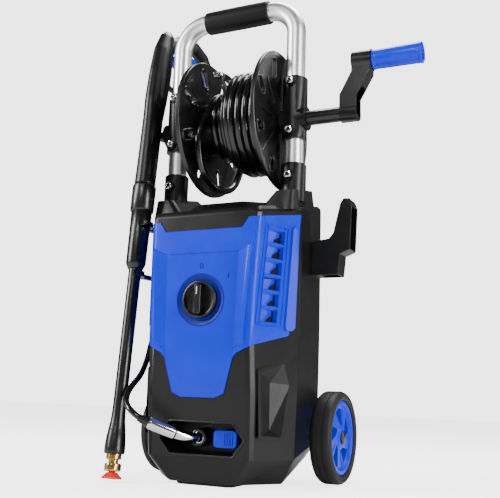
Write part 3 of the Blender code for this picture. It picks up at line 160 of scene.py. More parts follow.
def make_finish(name):
    """A material whose colour, gloss and surface vary with noise, in patches and in a fine grain."""
    dark, light, smooth, rough, metallic, grain, height, coat = FINISHES[name]
    material = bpy.data.materials.new(name)
    material.use_nodes = True
    tree = material.node_tree
    shader = tree.nodes["Principled BSDF"]
    shader.inputs["Metallic"].default_value = metallic
    shader.inputs["Coat Weight"].default_value = coat
    shader.inputs["Coat Roughness"].default_value = COAT_ROUGHNESS
    shader.inputs["Specular IOR Level"].default_value = SPECULAR.get(name, PLAIN_SPECULAR)
    place = tree.nodes.new("ShaderNodeTexCoord")
    stretch = tree.nodes.new("ShaderNodeMapping")
    stretch.inputs["Scale"].default_value = (1, 1, 1 / SCRATCH_STRETCH) if name == "aluminium" else (1, 1, 1)
    tree.links.new(place.outputs["Object"], stretch.inputs["Vector"])
    patches = tree.nodes.new("ShaderNodeTexNoise")
    patches.inputs["Scale"].default_value = 1 / PATCH_SIZE
    patches.inputs["Detail"].default_value = 6
    patches.inputs["Roughness"].default_value = 0.62
    tree.links.new(place.outputs["Object"], patches.inputs["Vector"])
    colour = tree.nodes.new("ShaderNodeMix")
    colour.data_type = "RGBA"
    colour.inputs[6].default_value = (*dark, 1)
    colour.inputs[7].default_value = (*light, 1)
    tree.links.new(patches.outputs["Fac"], colour.inputs[0])
    tree.links.new(colour.outputs[2], shader.inputs["Base Color"])
    grains = tree.nodes.new("ShaderNodeTexNoise")
    grains.inputs["Scale"].default_value = 1 / grain
    grains.inputs["Detail"].default_value = 3
    tree.links.new(stretch.outputs["Vector"], grains.inputs["Vector"])
    gloss = tree.nodes.new("ShaderNodeMapRange")
    gloss.inputs["From Min"].default_value = 0.3
    gloss.inputs["From Max"].default_value = 0.7
    gloss.inputs["To Min"].default_value = smooth
    gloss.inputs["To Max"].default_value = rough
    blend = tree.nodes.new("ShaderNodeMath")
    blend.operation = "MULTIPLY_ADD"
    blend.inputs[1].default_value = 1 - PATCH_SHARE
    tree.links.new(grains.outputs["Fac"], blend.inputs[0])
    soft = tree.nodes.new("ShaderNodeMath")
    soft.operation = "MULTIPLY"
    soft.inputs[1].default_value = PATCH_SHARE
    tree.links.new(patches.outputs["Fac"], soft.inputs[0])
    tree.links.new(soft.outputs[0], blend.inputs[2])
    tree.links.new(blend.outputs[0], gloss.inputs["Value"])
    tree.links.new(gloss.outputs["Result"], shader.inputs["Roughness"])
    bump = tree.nodes.new("ShaderNodeBump")
    bump.inputs["Strength"].default_value = 0.6
    bump.inputs["Distance"].default_value = height
    tree.links.new(grains.outputs["Fac"], bump.inputs["Height"])
    tree.links.new(bump.outputs["Normal"], shader.inputs["Normal"])
    return material


MATERIALS = {name: make_finish(name) for name in FINISHES}
NODE_FINISHES = {
    "satin_black": (
        "gun_holder", "lance_clip", "left_axle_cap", "right_axle_cap", "trigger_lock", "lance_nut",
        "lance_collar", "lance_tube", "swivel_elbow", "crank_arm", "reel_shaft", "outlet_port", "reel_drum",
    ),
    "blue_plastic": (
        "front_panel", "inlet_connector", "gun_trigger", "left_wheel", "right_wheel", "crank_grip",
    ),
    "tyre": ("left_tyre", "right_tyre"),
    "foam": ("handle_grip",),
    "steel": (
        "axle", "left_socket_bolt", "left_lower_bolt", "left_upper_bolt", "right_socket_bolt",
        "right_lower_bolt", "right_upper_bolt", "motor_rotor", "crank_pin",
    ),
    "chrome": ("hose_end_fitting", "jumper_coupling"),
    "brass": ("gun_inlet", "coupler_body", "coupler_collar"),
    "red_plastic": ("nozzle_tip",),
    "cast_aluminium": ("motor_stator", "pump"),
    "aluminium": ("handle_tube", "left_lower_tube", "right_lower_tube"),
}
WELD_GAP = 0.00001          # points closer than this are one point
EDGE_WIDTH = 0.0009         # radius moulded along the CAD nodes' edges
EDGE_ANGLE = math.radians(38)
CORNER_ANGLE = math.radians(72)    # the housing's upright corners are blunter than this and stay crisp
EDGE_STEPS = 2
FACE_WEIGHT = 80            # how far the large faces set the shading of their rounded edges


def round_edges(obj, width, angle):
    edges = obj.modifiers.new("edges", "BEVEL")
    edges.width = width
    edges.segments = EDGE_STEPS
    edges.limit_method = "ANGLE"
    edges.angle_limit = angle


def shade_by_faces(obj):
    shade = obj.modifiers.new("shade", "WEIGHTED_NORMAL")
    shade.weight = FACE_WEIGHT


def weld_points(node):
    weld = node.modifiers.new("weld", "WELD")
    weld.merge_threshold = WELD_GAP


def paint(obj, finish):
    obj.data.materials.clear()
    obj.data.materials.append(MATERIALS[finish])


def dress_node(name, node):
    """Give a CAD node its finish and its rounded edges; the front housing keeps its facets flat."""
    finish = next((f for f, names in NODE_FINISHES.items() if name in names), "black_plastic")
    paint(node, finish)
    weld_points(node)
    if name == "front_housing":
        round_edges(node, EDGE_WIDTH, CORNER_ANGLE)
    else:
        round_edges(node, EDGE_WIDTH, EDGE_ANGLE)
        shade_by_faces(node)


for node_name, node_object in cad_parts.items():
    dress_node(node_name, node_object)


# ---- mesh helpers --------------------------------------------------------------------------------
ALONG_X = Matrix.Rotation(math.pi / 2, 4, "Y")       # local z points along +X
FRONT_VIEW = Matrix.Rotation(math.pi / 2, 4, "X")    # local x, y, z are world X, Z, -Y
SMOOTH_ANGLE = math.radians(40)
FLAT_ANGLE = math.radians(1.2)     # neighbouring faces closer than this are one flat face
SAME_POINT = 0.000001


def skin(rings, closed_path=False):
    """A mesh skinned over equal rings of points; the ends are capped unless the path closes on itself."""
    bm = bmesh.new()
    rows = [[bm.verts.new(point) for point in ring] for ring in rings]
    pairs = list(zip(rows, rows[1:]))
    if closed_path:
        pairs.append((rows[-1], rows[0]))
    for low, high in pairs:
        for i in range(len(low)):
            j = (i + 1) % len(low)
            bm.faces.new((low[i], low[j], high[j], high[i]))
    if not closed_path:
        bm.faces.new(rows[0])
        bm.faces.new(rows[-1])
    return bm


def prism(outline, low, high):
    return skin([[(x, y, z) for x, y in outline] for z in (low, high)])


def lathe(profile, steps=72):
    """A profile of (radius, height) spun about local z; one that starts off the axis closes on itself."""
    bm = bmesh.new()
    points = [bm.verts.new((radius, 0.0, height)) for radius, height in profile]
    edges = [bm.edges.new(pair) for pair in zip(points, points[1:])]
    if profile[0][0] > 0:
        edges.append(bm.edges.new((points[-1], points[0])))
    bmesh.ops.spin(bm, geom=points + edges, cent=(0, 0, 0), axis=(0, 0, 1), angle=2 * math.pi, steps=steps)
    return bm


def rounded(points, radius, steps=4):
    """The outline with each corner replaced by an arc."""
    outline = []
    for i, point in enumerate(points):
        corner = Vector(point)
        back = (Vector(points[i - 1]) - corner).normalized()
        ahead = (Vector(points[(i + 1) % len(points)]) - corner).normalized()
        half = back.angle(ahead) / 2
        centre = corner + (back + ahead).normalized() * (radius / math.sin(half))
        first = (corner + back * (radius / math.tan(half)) - centre).normalized()
        last = (corner + ahead * (radius / math.tan(half)) - centre).normalized()
        outline += [tuple(centre + first.slerp(last, step / steps) * radius) for step in range(steps + 1)]
    return outline


def circle(radius, count, centre=(0.0, 0.0)):
    turns = [2 * math.pi * i / count for i in range(count)]
    return [(centre[0] + radius * math.cos(a), centre[1] + radius * math.sin(a)) for a in turns]


def rectangle(width, height, centre=(0.0, 0.0)):
    x, y = centre
    corners = ((-1, -1), (1, -1), (1, 1), (-1, 1))
    return [(x + width / 2 * i, y + height / 2 * j) for i, j in corners]


def bead(points, radius, sides=8, closed=True):
    """A thin round bead along the points."""
    rings = []
    count = len(points)
    for i, point in enumerate(points):
        before = points[i - 1] if closed or i else point
        after = points[(i + 1) % count] if closed or i < count - 1 else point
        heading = (Vector(after) - Vector(before)).normalized()
        turn = heading.to_track_quat("Z", "Y").to_matrix()
        rings.append([Vector(point) + turn @ Vector((x, y, 0.0)) for x, y in circle(radius, sides)])
    return skin(rings, closed)


def merged(parts):
    """One mesh from several, each given as (mesh, matrix)."""
    whole = bmesh.new()
    for bm, matrix in parts:
        bm.transform(matrix)
        mesh = bpy.data.meshes.new("part")
        bm.to_mesh(mesh)
        bm.free()
        whole.from_mesh(mesh)
        bpy.data.meshes.remove(mesh)
    return whole


def new_object(name, bm):
    bmesh.ops.remove_doubles(bm, verts=bm.verts, dist=SAME_POINT)
    bmesh.ops.recalc_face_normals(bm, faces=bm.faces)
    mesh = bpy.data.meshes.new(name)
    bm.to_mesh(mesh)
    bm.free()
    obj = bpy.data.objects.new(name, mesh)
    bpy.context.scene.collection.objects.link(obj)
    return obj


def carve(bm, cutters):
    """The mesh with the cutters' space taken out of it."""
    target = new_object("carved", bm)
    tools = [new_object(f"tool_{i}", cutter) for i, cutter in enumerate(cutters)]
    for tool in tools:
        modifier = target.modifiers.new(tool.name, "BOOLEAN")
        modifier.operation = "DIFFERENCE"
        modifier.solver = "EXACT"
        modifier.object = tool
    seen = target.evaluated_get(bpy.context.evaluated_depsgraph_get())
    result = bmesh.new()
    result.from_mesh(seen.to_mesh())
    for obj in (target, *tools):
        bpy.data.objects.remove(obj)
    return result


def placed(bm, matrix):
    bm.transform(matrix)
    return bm


def add_piece(name, bm, finish, body, nodes=(), soften=0.0, soften_angle=SMOOTH_ANGLE):
    """Link a finished piece, shade it, let it ride on its body and stand for its CAD nodes."""
    obj = new_object(name, bm)
    obj.data.shade_smooth()
    obj.data.set_sharp_from_angle(angle=SMOOTH_ANGLE)
    paint(obj, finish)
    if soften:
        round_edges(obj, soften, soften_angle)
        shade_by_faces(obj)
    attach(obj, body)
    if nodes:
        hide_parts(*nodes)
    return obj


# ---- cords ---------------------------------------------------------------------------------------
CORD_RINGS = 5              # roundness of a cord's section
COIL_PITCH = 0.0132         # from one turn of the hose to the next, along the drum
COIL_RIGHT_X = 0.0745
COIL_STEP_X = 0.0265        # the upper layers stop here; only the lowest goes on to the left
LAYER_RADII = (0.0570, 0.0722, 0.0880)
TURN_POINTS = 18
CLIMB_POINTS = 6            # points left out where the hose climbs from one layer to the next
LEAD_IN = math.radians(157)    # where the last turn leaves the drum, from straight behind over the top
LAST_TOUCH = Vector((-0.0290, -0.0637, 0.6248))    # where the hose has just left the drum
DESCENT = (                 # the slack turns that come down to the left, as (x, radius) one turn apart
    (0.0265, 0.0880), (0.0140, 0.0745), (0.0010, 0.0605), (-0.0120, 0.0575), (-0.0235, 0.0580),
)


def smooth_curve(name, points, radius, resolution):
    """A round cord along one open Bezier spline through the points."""
    data = bpy.data.curves.new(name, "CURVE")
    data.dimensions = "3D"
    data.bevel_depth = 1.0
    data.bevel_resolution = CORD_RINGS
    data.resolution_u = resolution
    data.use_fill_caps = True
    path = data.splines.new("BEZIER")
    path.bezier_points.add(len(points) - 1)
    for knot, point in zip(path.bezier_points, points):
        knot.co = point
        knot.radius = radius
        knot.handle_left_type = "AUTO"
        knot.handle_right_type = "AUTO"
    obj = bpy.data.objects.new(name, data)
    bpy.context.scene.collection.objects.link(obj)
    return obj


def coil_profile():
    """Where the hose's middle runs, as (x, radius) or None for a climb: three layers, then the descent."""
    marks = []
    reach = COIL_RIGHT_X - COIL_STEP_X
    turns = reach / COIL_PITCH
    for layer, radius in enumerate(LAYER_RADII):
        ends = (COIL_RIGHT_X, COIL_STEP_X) if layer % 2 == 0 else (COIL_STEP_X, COIL_RIGHT_X)
        steps = round(turns * TURN_POINTS)
        for step in range(steps + 1):
            marks.append((ends[0] + (ends[1] - ends[0]) * step / steps, radius))
        marks += [None] * CLIMB_POINTS
    for (x0, r0), (x1, r1) in zip(DESCENT, DESCENT[1:]):
        for step in range(1, TURN_POINTS + 1):
            share = step / TURN_POINTS
            marks.append((x0 + (x1 - x0) * share, r0 + (r1 - r0) * share))
    return marks


def hose_points():
    """The wound hose from the drum's right end on, then its loose last turn."""
    marks = coil_profile()
    known = [i for i, mark in enumerate(marks) if mark]
    xs = np.interp(range(len(marks)), known, [marks[i][0] for i in known])
    radii = np.interp(range(len(marks)), known, [marks[i][1] for i in known])
    last = len(marks) - 1
    points = []
    for i, (x, radius) in enumerate(zip(xs, radii)):
        angle = LEAD_IN - 2 * math.pi * (last - i) / TURN_POINTS
        points.append(Vector((x, radius * math.cos(angle), REEL_Z + radius * math.sin(angle))))
    return points + [LAST_TOUCH] + [Vector(p) for p in TAIL_ROUTE]


ELBOW_BULGE = Vector((-0.0060, -0.0240, -0.0050))    # from the port to the point the elbow bends towards
ELBOW_STEPS = 60
ELBOW_SIDES = 40
COUPLING_ENTRY = (COUPLING_END - COUPLING_START - ELBOW_BULGE).normalized()    # the elbow's last heading
COUPLING_PROFILE = (        # share of the way along the elbow, and radius
    (0.0000, 0.0045), (0.0600, 0.0064), (0.1400, 0.0078), (0.2600, 0.0084), (0.6300, 0.0086),
    (0.6350, 0.0098), (0.9800, 0.0098), (1.0000, 0.0084),
)
SEAM_PROFILE = ((0.5950, 0.0082), (0.6000, 0.0092), (0.6200, 0.0092), (0.6250, 0.0082))


def elbow_point(share):
    """A point along the coupling's bent middle line, from the port at 0 to the hose at 1."""
    bend = COUPLING_START + ELBOW_BULGE
    left = 1 - share
    return left ** 2 * COUPLING_START + 2 * share * left * bend + share ** 2 * COUPLING_END


def along_elbow(profile):
    """A turned form that follows the elbow; the profile is (share of the way, radius)."""
    first, last = profile[0][0], profile[-1][0]
    shares = sorted({share for share, _ in profile} | set(np.linspace(first, last, ELBOW_STEPS).tolist()))
    rings = []
    for share in shares:
        radius = float(np.interp(share, *zip(*profile)))
        heading = (elbow_point(share + 0.01) - elbow_point(share - 0.01)).normalized()
        turn = heading.to_track_quat("Z", "Y").to_matrix()
        section = circle(radius, ELBOW_SIDES)
        rings.append([elbow_point(share) + turn @ Vector((x, y, 0.0)) for x, y in section])
    return skin(rings)


def make_coupling():
    """The bent coupling: an elbow out of the port, then a thicker sleeve over the hose's end."""
    add_piece("coupling_ring", along_elbow(SEAM_PROFILE), "satin_black", "frame")
    return add_piece("bent_coupling", along_elbow(COUPLING_PROFILE), "chrome", "frame", ["jumper_coupling"])


def make_cords(coupling):
    """The hose on the reel and the short hose that brings it water."""
    hose_route = hose_points()
    hose = smooth_curve("reel_hose", hose_route, HOSE_RADIUS, 4)
    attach(hose, "reel")
    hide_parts("wound_hose", "hose_tail")
    nipple_end = SWIVEL + NIPPLE_DROP * NIPPLE_LENGTH
    route = [COUPLING_END + COUPLING_ENTRY * GAP, COUPLING_END + COUPLING_ENTRY * LEAD]
    route += [Vector(p) for p in JUMPER_ROUTE]
    route += [nipple_end + NIPPLE_DROP * LEAD, nipple_end + NIPPLE_DROP * GAP]
    jumper = smooth_curve("jumper_pipe", route, PIPE_RADIUS, 8)
    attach(jumper, "frame")
    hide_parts("jumper_hose")
    paint(hose, "hose")
    paint(jumper, "hose")


make_cords(make_coupling())


# ---- reel ----------------------------------------------------------------------------------------
REEL_AXIS = Matrix.Translation((0, 0, REEL_Z)) @ ALONG_X
SHAFT_BORE = 0.0133
DRUM_RADIUS = 0.0560
LEFT_FLANGE = (
    (SHAFT_BORE, -0.0520), (0.0300, -0.0520), (0.0340, -0.0505), (DRUM_RADIUS, -0.0490), (0.1130, -0.0528),
    (0.1170, -0.0550), (0.1200, -0.0560), (0.1235, -0.0555), (0.1250, -0.0540), (0.1250, -0.0480),
    (0.1238, -0.0468), (0.1200, -0.0470), (0.1160, -0.0484), (0.1130, -0.0485), (DRUM_RADIUS, -0.0450),
    (SHAFT_BORE, -0.0450),
)
RIGHT_FLANGE = (
    (SHAFT_BORE, 0.0820), (DRUM_RADIUS, 0.0820), (0.1130, 0.0895), (0.1160, 0.0896), (0.1200, 0.0884),
    (0.1238, 0.0882), (0.1250, 0.0892), (0.1250, 0.0935), (0.1235, 0.0950), (0.1200, 0.0953),
    (0.1160, 0.0945), (0.1130, 0.0935), (DRUM_RADIUS, 0.0865), (0.0380, 0.0885), (0.0300, 0.0905),
    (SHAFT_BORE, 0.0905),
)
WINDOWS = 8
WINDOW_RADIUS = 0.094       # from the reel's axis to a hole's middle
WINDOW_SIZE = (0.0360, 0.0165)
WINDOW_CORNER = 0.0080
LIP_RADIUS = 0.0017
LIP_SETBACK = 0.0010        # the lip's middle line runs this far outside the hole
RIB_FOOT = 0.036            # radii where a rib starts, begins to fall and ends
RIB_BEND = 0.090
RIB_TIP = 0.112
RIB_HEIGHT = 0.0050
RIB_ROOT = 0.0010           # how deep a rib is sunk in the flange
RIB_HALF = 0.0012
DIMPLE_RADII = (0.066, 0.078)
DIMPLE = ((0, -0.0010), (0.0026, -0.0010), (0.0026, 0.0004), (0.0016, 0.0013), (0, 0.0016))


def face_height(profile, radius, first):
    """Where along the reel's axis a flange's first or second face is, at a radius."""
    turn = max(range(len(profile)), key=lambda i: profile[i][0])
    side = profile[:turn + 1] if first else profile[turn + 1:][::-1]
    return float(np.interp(radius, [r for r, _ in side], [h for _, h in side]))


def oval(index, grow=0.0):
    """The outline of one radial oval hole in a flange, in the flange's own plane."""
    turn = Matrix.Rotation(2 * math.pi * (index + 0.5) / WINDOWS, 2)
    length, width = (size + 2 * grow for size in WINDOW_SIZE)
    outline = rounded(rectangle(length, width, (WINDOW_RADIUS, 0.0)), WINDOW_CORNER + grow, 6)
    return [turn @ Vector(point) for point in outline]


def window_lip(profile, index, first):
    """The bead round one hole, on one face of the flange."""
    rim = []
    for point in oval(index, LIP_SETBACK):
        rim.append(Vector((point.x, point.y, face_height(profile, point.length, first))))
    return bead(rim, LIP_RADIUS)


def flange_rib(profile, first, outward):
    tip = face_height(profile, RIB_TIP, first)
    foot = face_height(profile, DRUM_RADIUS, first)
    top = foot + outward * RIB_HEIGHT
    side = (
        (RIB_FOOT, foot - outward * RIB_ROOT), (RIB_TIP, tip - outward * RIB_ROOT), (RIB_TIP, tip),
        (RIB_BEND, top), (RIB_FOOT, top),
    )
    return prism(side, -RIB_HALF, RIB_HALF)


def make_flange(label, profile, first_is_outer):
    """A dished flange with lipped oval holes, ribs on its outer face and dimples on its inner one."""
    cutters = [prism(oval(i), -0.1, 0.12) for i in range(WINDOWS)]
    parts = [(carve(lathe(profile, 96), cutters), REEL_AXIS)]
    outward = 1 if profile[0][1] > 0 else -1
    dimple_turn = Matrix.Rotation(math.pi, 4, "X") if outward > 0 else Matrix()
    for i in range(WINDOWS):
        for first in (first_is_outer, not first_is_outer):
            parts.append((window_lip(profile, i, first), REEL_AXIS))
        angle = 2 * math.pi * i / WINDOWS
        stand = Matrix.Rotation(angle, 4, "Z") @ Matrix.Rotation(math.pi / 2, 4, "X")
        parts.append((flange_rib(profile, first_is_outer, outward), REEL_AXIS @ stand))
        between = angle + math.pi / WINDOWS
        for radius in DIMPLE_RADII:
            height = face_height(profile, radius, not first_is_outer)
            spot = Vector((radius * math.cos(between), radius * math.sin(between), height))
            parts.append((lathe(DIMPLE, 12), REEL_AXIS @ Matrix.Translation(spot) @ dimple_turn))
    add_piece(label + "_reel_flange", merged(parts), "satin_black", "reel", [label + "_flange"], 0.0005)


make_flange("left", LEFT_FLANGE, True)
make_flange("right", RIGHT_FLANGE, False)


# ---- crank grip ----------------------------------------------------------------------------------
CRANK_PROFILE = (
    (0.0054, 0.2604), (0.0158, 0.2604), (0.0168, 0.2610), (0.0172, 0.2622), (0.0172, 0.2640),
    (0.0166, 0.2650), (0.0168, 0.2700), (0.0172, 0.3000), (0.0177, 0.3390), (0.0174, 0.3402),
    (0.0180, 0.3414), (0.0182, 0.3440), (0.0180, 0.3457), (0.0172, 0.3464), (0.0160, 0.3464),
    (0.0152, 0.3452), (0.0148, 0.3350), (0.0140, 0.3330), (0.0054, 0.3330),
)
CRANK_SCREW = ((0, 0.3395), (0.0046, 0.3395), (0.0046, 0.3418), (0.0034, 0.3432), (0, 0.3436))
CRANK_RIBS = 3
CRANK_RIB_STEP = 9          # degrees from one rib to the next
CRANK_RIB_START = 100       # degrees round the grip


def make_crank_grip():
    """The turned grip with three short ribs, and the screw in its end."""
    middle = Matrix.Translation((0, 0, CRANK_GRIP_Z))
    parts = [(lathe(CRANK_PROFILE, 56), middle @ ALONG_X)]
    for i in range(CRANK_RIBS):
        rib = prism(rounded(rectangle(0.0240, 0.0022), 0.0010), 0.0, 0.0007)
        swing = Matrix.Rotation(math.radians(CRANK_RIB_START + CRANK_RIB_STEP * i), 4, "X")
        lift = Matrix.Translation((0.2840, 0.0, 0.0167))
        parts.append((rib, middle @ swing @ lift))
    add_piece("grip_of_crank", merged(parts), "blue_plastic", "crank_grip", ["crank_grip"])
    screw = lathe(CRANK_SCREW, 24)
    add_piece("crank_screw", placed(screw, middle @ ALONG_X), "steel", "reel")


make_crank_grip()


# ---- handle --------------------------------------------------------------------------------------
ARC_STEPS = 18              # along each of the tube's bends
GRIP_HALF = 0.0650
GRIP_RADIUS = 0.0215        # at the middle of its bulge
GRIP_BULGE = 0.0004
GRIP_ROUND = 0.0030         # how far its ends are rounded


def make_handle():
    """The handle's bent tube, from the left leg over the top and down to the right leg."""
    corner = LEG_X - BEND_RADIUS
    path = [Vector((-LEG_X, 0, UPPER_LEG_Z))]
    for side, start, end in ((-1, 180, 90), (1, 90, 0)):
        for step in range(ARC_STEPS + 1):
            angle = math.radians(start + (end - start) * step / ARC_STEPS)
            across = side * corner + BEND_RADIUS * math.cos(angle)
            path.append(Vector((across, 0, GRIP_Z - BEND_RADIUS + BEND_RADIUS * math.sin(angle))))
    path.append(Vector((LEG_X, 0, UPPER_LEG_Z)))
    rings = []
    for i, point in enumerate(path):
        heading = (path[min(i + 1, len(path) - 1)] - path[max(i - 1, 0)]).normalized()
        aside = heading.cross(Vector((0, 1, 0)))
        rings.append([point + aside * x + Vector((0, y, 0)) for x, y in circle(TUBE_RADIUS, 40)])
    add_piece("bent_tube", skin(rings), "aluminium", "frame", ["handle_tube"])


def make_foam_grip():
    """The grip bulges a little between its rounded ends."""
    edge = GRIP_RADIUS - GRIP_BULGE
    foot = [(TUBE_RADIUS + GAP, -GRIP_HALF + 0.0010)]
    for step in range(7):
        angle = math.pi / 2 * step / 6
        radius = edge - GRIP_ROUND + GRIP_ROUND * math.sin(angle)
        foot.append((radius, -GRIP_HALF + GRIP_ROUND - GRIP_ROUND * math.cos(angle)))
    belly = []
    for step in range(1, 12):
        share = step / 12
        belly.append((edge + GRIP_BULGE * math.sin(math.pi * share), -GRIP_HALF + 2 * GRIP_HALF * share))
    head = [(radius, -height) for radius, height in reversed(foot)]
    place = Matrix.Translation((0, 0, GRIP_Z)) @ ALONG_X
    body = placed(lathe(foot + belly + head, 56), place)
    grip = add_piece("foam_grip", body, "foam", "frame", ["handle_grip"])


make_handle()
make_foam_grip()


# ---- bolts ---------------------------------------------------------------------------------------
BOLT_NODES = [f"{side}_{spot}_bolt" for side in ("left", "right") for spot in ("socket", "lower", "upper")]
BOLT_HEAD = (
    (0.0031, -0.0006), (0.0062, -0.0006), (0.0068, 0.0003), (0.0061, 0.0013), (0.0038, 0.0019),
    (0.0031, 0.0014),
)
BOLT_SOCKET = 0.0032


def make_bolt_faces():
    """A domed chrome face on the front of each bolt, with a dark hexagon at the foot of its shallow socket: a
    real recess, with painted shade for the socket's depth.
    """
    domes, socket_shades = [], []
    for node in BOLT_NODES:
        low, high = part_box(node)
        place = Matrix.Translation(((low[0] + high[0]) / 2, low[1], (low[2] + high[2]) / 2)) @ FRONT_VIEW
        domes.append((lathe(BOLT_HEAD, 36), place))
        # a dark hexagon at the foot of the shallow recess: painted shade for a deep socket
        socket_shades.append((prism(circle(BOLT_SOCKET, 6), -0.0006, 0.0002), place))
    add_piece("bolt_domes", merged(domes), "chrome", "frame", (), 0.0002)
    add_piece("bolt_socket_shades", merged(socket_shades), "satin_black", "frame")


make_bolt_faces()


# ---- wheels --------------------------------------------------------------------------------------
WHEEL_HALF = 0.0190         # half the width of a tyre
TYRE_WALL = (               # radius and depth from the tyre's side
    (0.0629, 0.0030), (0.0660, 0.0006), (0.0700, 0.0004), (0.0708, 0.0012), (0.0716, 0.0004),
    (0.0745, 0.0010), (0.0770, 0.0040), (0.0785, 0.0080), (0.0785, 0.0128), (0.0772, 0.0134),
    (0.0772, 0.0150), (0.0785, 0.0156),
)
SPOKES = 5
SPOKE_LINE_RADIUS = 0.0013
SPOKE_LINE_START = 0.0200
SPOKE_LINE_REACH = 0.0300
SPOKE_LINE_TURN = math.radians(2)
SPOKE_LINE_BEND = math.radians(16)


def make_tyre(label, side):
    """A solid tyre with two grooves round its tread and a line round each wall."""
    wall = [(radius, depth - WHEEL_HALF) for radius, depth in TYRE_WALL]
    profile = wall + [(radius, -height) for radius, height in reversed(wall)]
    place = Matrix.Translation((side * WHEEL_X, WHEEL_Y, WHEEL_Z)) @ ALONG_X
    tyre = placed(lathe(profile, 120), place)
    add_piece(label + "_solid_tyre", tyre, "tyre", label + "_wheel", [label + "_tyre"])


def spoke_window(index):
    """The cutter for one curved opening between two spokes."""
    start = 2 * math.pi * index / SPOKES
    inner = [(0.0215, start + math.radians(a)) for a in (10, 38)]
    outer = [(0.0495, start + math.radians(a)) for a in (64, 56, 46, 36, 28)]
    outline = [(r * math.cos(a), r * math.sin(a)) for r, a in inner + outer]
    return prism(rounded(outline, 0.0016, 3), -0.05, 0.05)


def spoke_line(index, side):
    """A raised line that curves out along one spoke."""
    line = []
    for step in range(9):
        share = step / 8
        radius = SPOKE_LINE_START + SPOKE_LINE_REACH * share
        turn = 2 * math.pi * index / SPOKES + SPOKE_LINE_TURN + SPOKE_LINE_BEND * share
        height = side * (0.0114 - 0.0018 * share)
        line.append(Vector((radius * math.cos(turn), radius * math.sin(turn), height)))
    return bead(line, SPOKE_LINE_RADIUS, 8, False)


def make_wheel(label, side):
    """A wheel of five curved spokes, dished on its outer face."""
    half = WHEEL_HALF
    face = [
        (0.0064, half - 0.0040), (0.0130, half - 0.0040), (0.0150, half - 0.0046), (0.0175, 0.0120),
        (0.0205, 0.0112), (0.0500, 0.0092), (0.0528, 0.0100), (0.0548, half - 0.0046),
        (0.0560, half - 0.0040), (0.0612, half - 0.0040), (0.0625, half - 0.0052),
    ]
    back = [
        (0.0625, -half + 0.0052), (0.0612, -half + 0.0040), (0.0560, -half + 0.0040), (0.0520, -0.0060),
        (0.0160, -0.0060), (0.0145, -half + 0.0010), (0.0064, -half + 0.0010),
    ]
    profile = [(radius, side * height) for radius, height in face + back]
    disc = carve(lathe(profile, 96), [spoke_window(i) for i in range(SPOKES)])
    place = Matrix.Translation((side * WHEEL_X, WHEEL_Y, WHEEL_Z)) @ ALONG_X
    parts = [(disc, place)] + [(spoke_line(i, side), place) for i in range(SPOKES)]
    wheel = label + "_wheel"
    add_piece(label + "_spoked_wheel", merged(parts), "blue_plastic", wheel, [wheel], 0.0006)


for wheel_label, wheel_side in (("left", -1), ("right", 1)):
    make_tyre(wheel_label, wheel_side)
    make_wheel(wheel_label, wheel_side)


# ---- blue panel ----------------------------------------------------------------------------------
CORNER_LINE = ((0.240, 0.092, -0.105), (0.300, 0.093, -0.104), (0.4365, 0.099, -0.102))   # z, x, y
WING_LINE = ((0.240, 0.138, -0.010), (0.300, 0.139, -0.010), (0.4365, 0.139, -0.010))
PROUD = 0.0015              # the panel stands this far out of the housing
ROOT = -0.0008              # bars on the panel start this far below its surface
COLUMN_LOW_Z = 0.255
COLUMN_TOP_Z = 0.421
LOUVERS = 6
LOUVER_TOP_Z = 0.4110
LOUVER_PITCH = 0.0262
LOUVER_HEIGHT = 0.0190
LOUVER_START = (0.0190, 0.0260)    # reaches at the column's foot and at its top
LOUVER_END = (0.0500, 0.0600)
FRAME_LOW_Z = 0.2560
FRAME_TOP_Z = 0.4205
FRAME_REACHES = ((0.0090, 0.0180), (0.0165, 0.0238), (0.0525, 0.0622), (0.0625, 0.0690))
FRAME_BAR = (0.0020, 0.0014)       # width and height
CROSS_BAR = (0.0030, 0.0012)
RIDGE_FOOT = ((0.0620, 0.2150), (0.0815, 0.2240), (0.0920, 0.3860), (0.0660, 0.3740))      # x and z
RIDGE_TOP = ((0.0772, 0.2290), (0.0790, 0.2300), (0.0890, 0.3820), (0.0860, 0.3780))
WEDGE_RINGS = (             # z, near reach and far reach of the wedge behind the column
    (0.2500, 0.0720, 0.0990), (0.2560, 0.0690, 0.1060), (0.4210, 0.0760, 0.1060), (0.4260, 0.0800, 0.0990),
)
KNOB_PLACE = Matrix.Translation((0, 0, KNOB_Z)) @ FRONT_VIEW
DISH_CUT = (
    (0, 0.0988), (0.0340, 0.0988), (0.0425, 0.1035), (0.0445, 0.1060), (0.0445, 0.1200), (0, 0.1200),
)
# a dark liner on the dish's wall and floor: painted shade for the shadow in the recessed dish
DISH_SHADE_LINER = (
    (0.0325, 0.0989), (0.0341, 0.0989), (0.0423, 0.1035), (0.0432, 0.1046), (0.0416, 0.1046),
    (0.0336, 0.0996), (0.0325, 0.0996),
)
KNOB_PROFILE = (
    (0, 0.0840), (0.0044, 0.0840), (0.0044, 0.0995), (0.0300, 0.0995), (0.0310, 0.1005), (0.0310, 0.1075),
    (0.0300, 0.1090), (0.0282, 0.1094), (0.0264, 0.1090), (0.0258, 0.1078), (0.0252, 0.1058),
    (0.0240, 0.1048), (0, 0.1048),
)


def line_point(line, z):
    """Where a line of (z, x, y) marks is at a height, seen from above."""
    heights, xs, ys = zip(*line)
    return Vector((np.interp(z, heights, xs), np.interp(z, heights, ys)))


def on_wing(side, reach, z, out=0.0):
    """A point on the panel's slanted wing, reach behind the front corner and out of the surface."""
    corner = line_point(CORNER_LINE, z)
    along = (line_point(WING_LINE, z) - corner).normalized()
    outward = Vector((along.y, -along.x))
    point = corner + along * reach + outward * (PROUD + out)
    return Vector((side * point.x, point.y, z))


def wing_lean(z, low, high):
    """A reach that leans from its value at the column's foot to its value at the top."""
    return low + (high - low) * (z - COLUMN_LOW_Z) / (COLUMN_TOP_Z - COLUMN_LOW_Z)


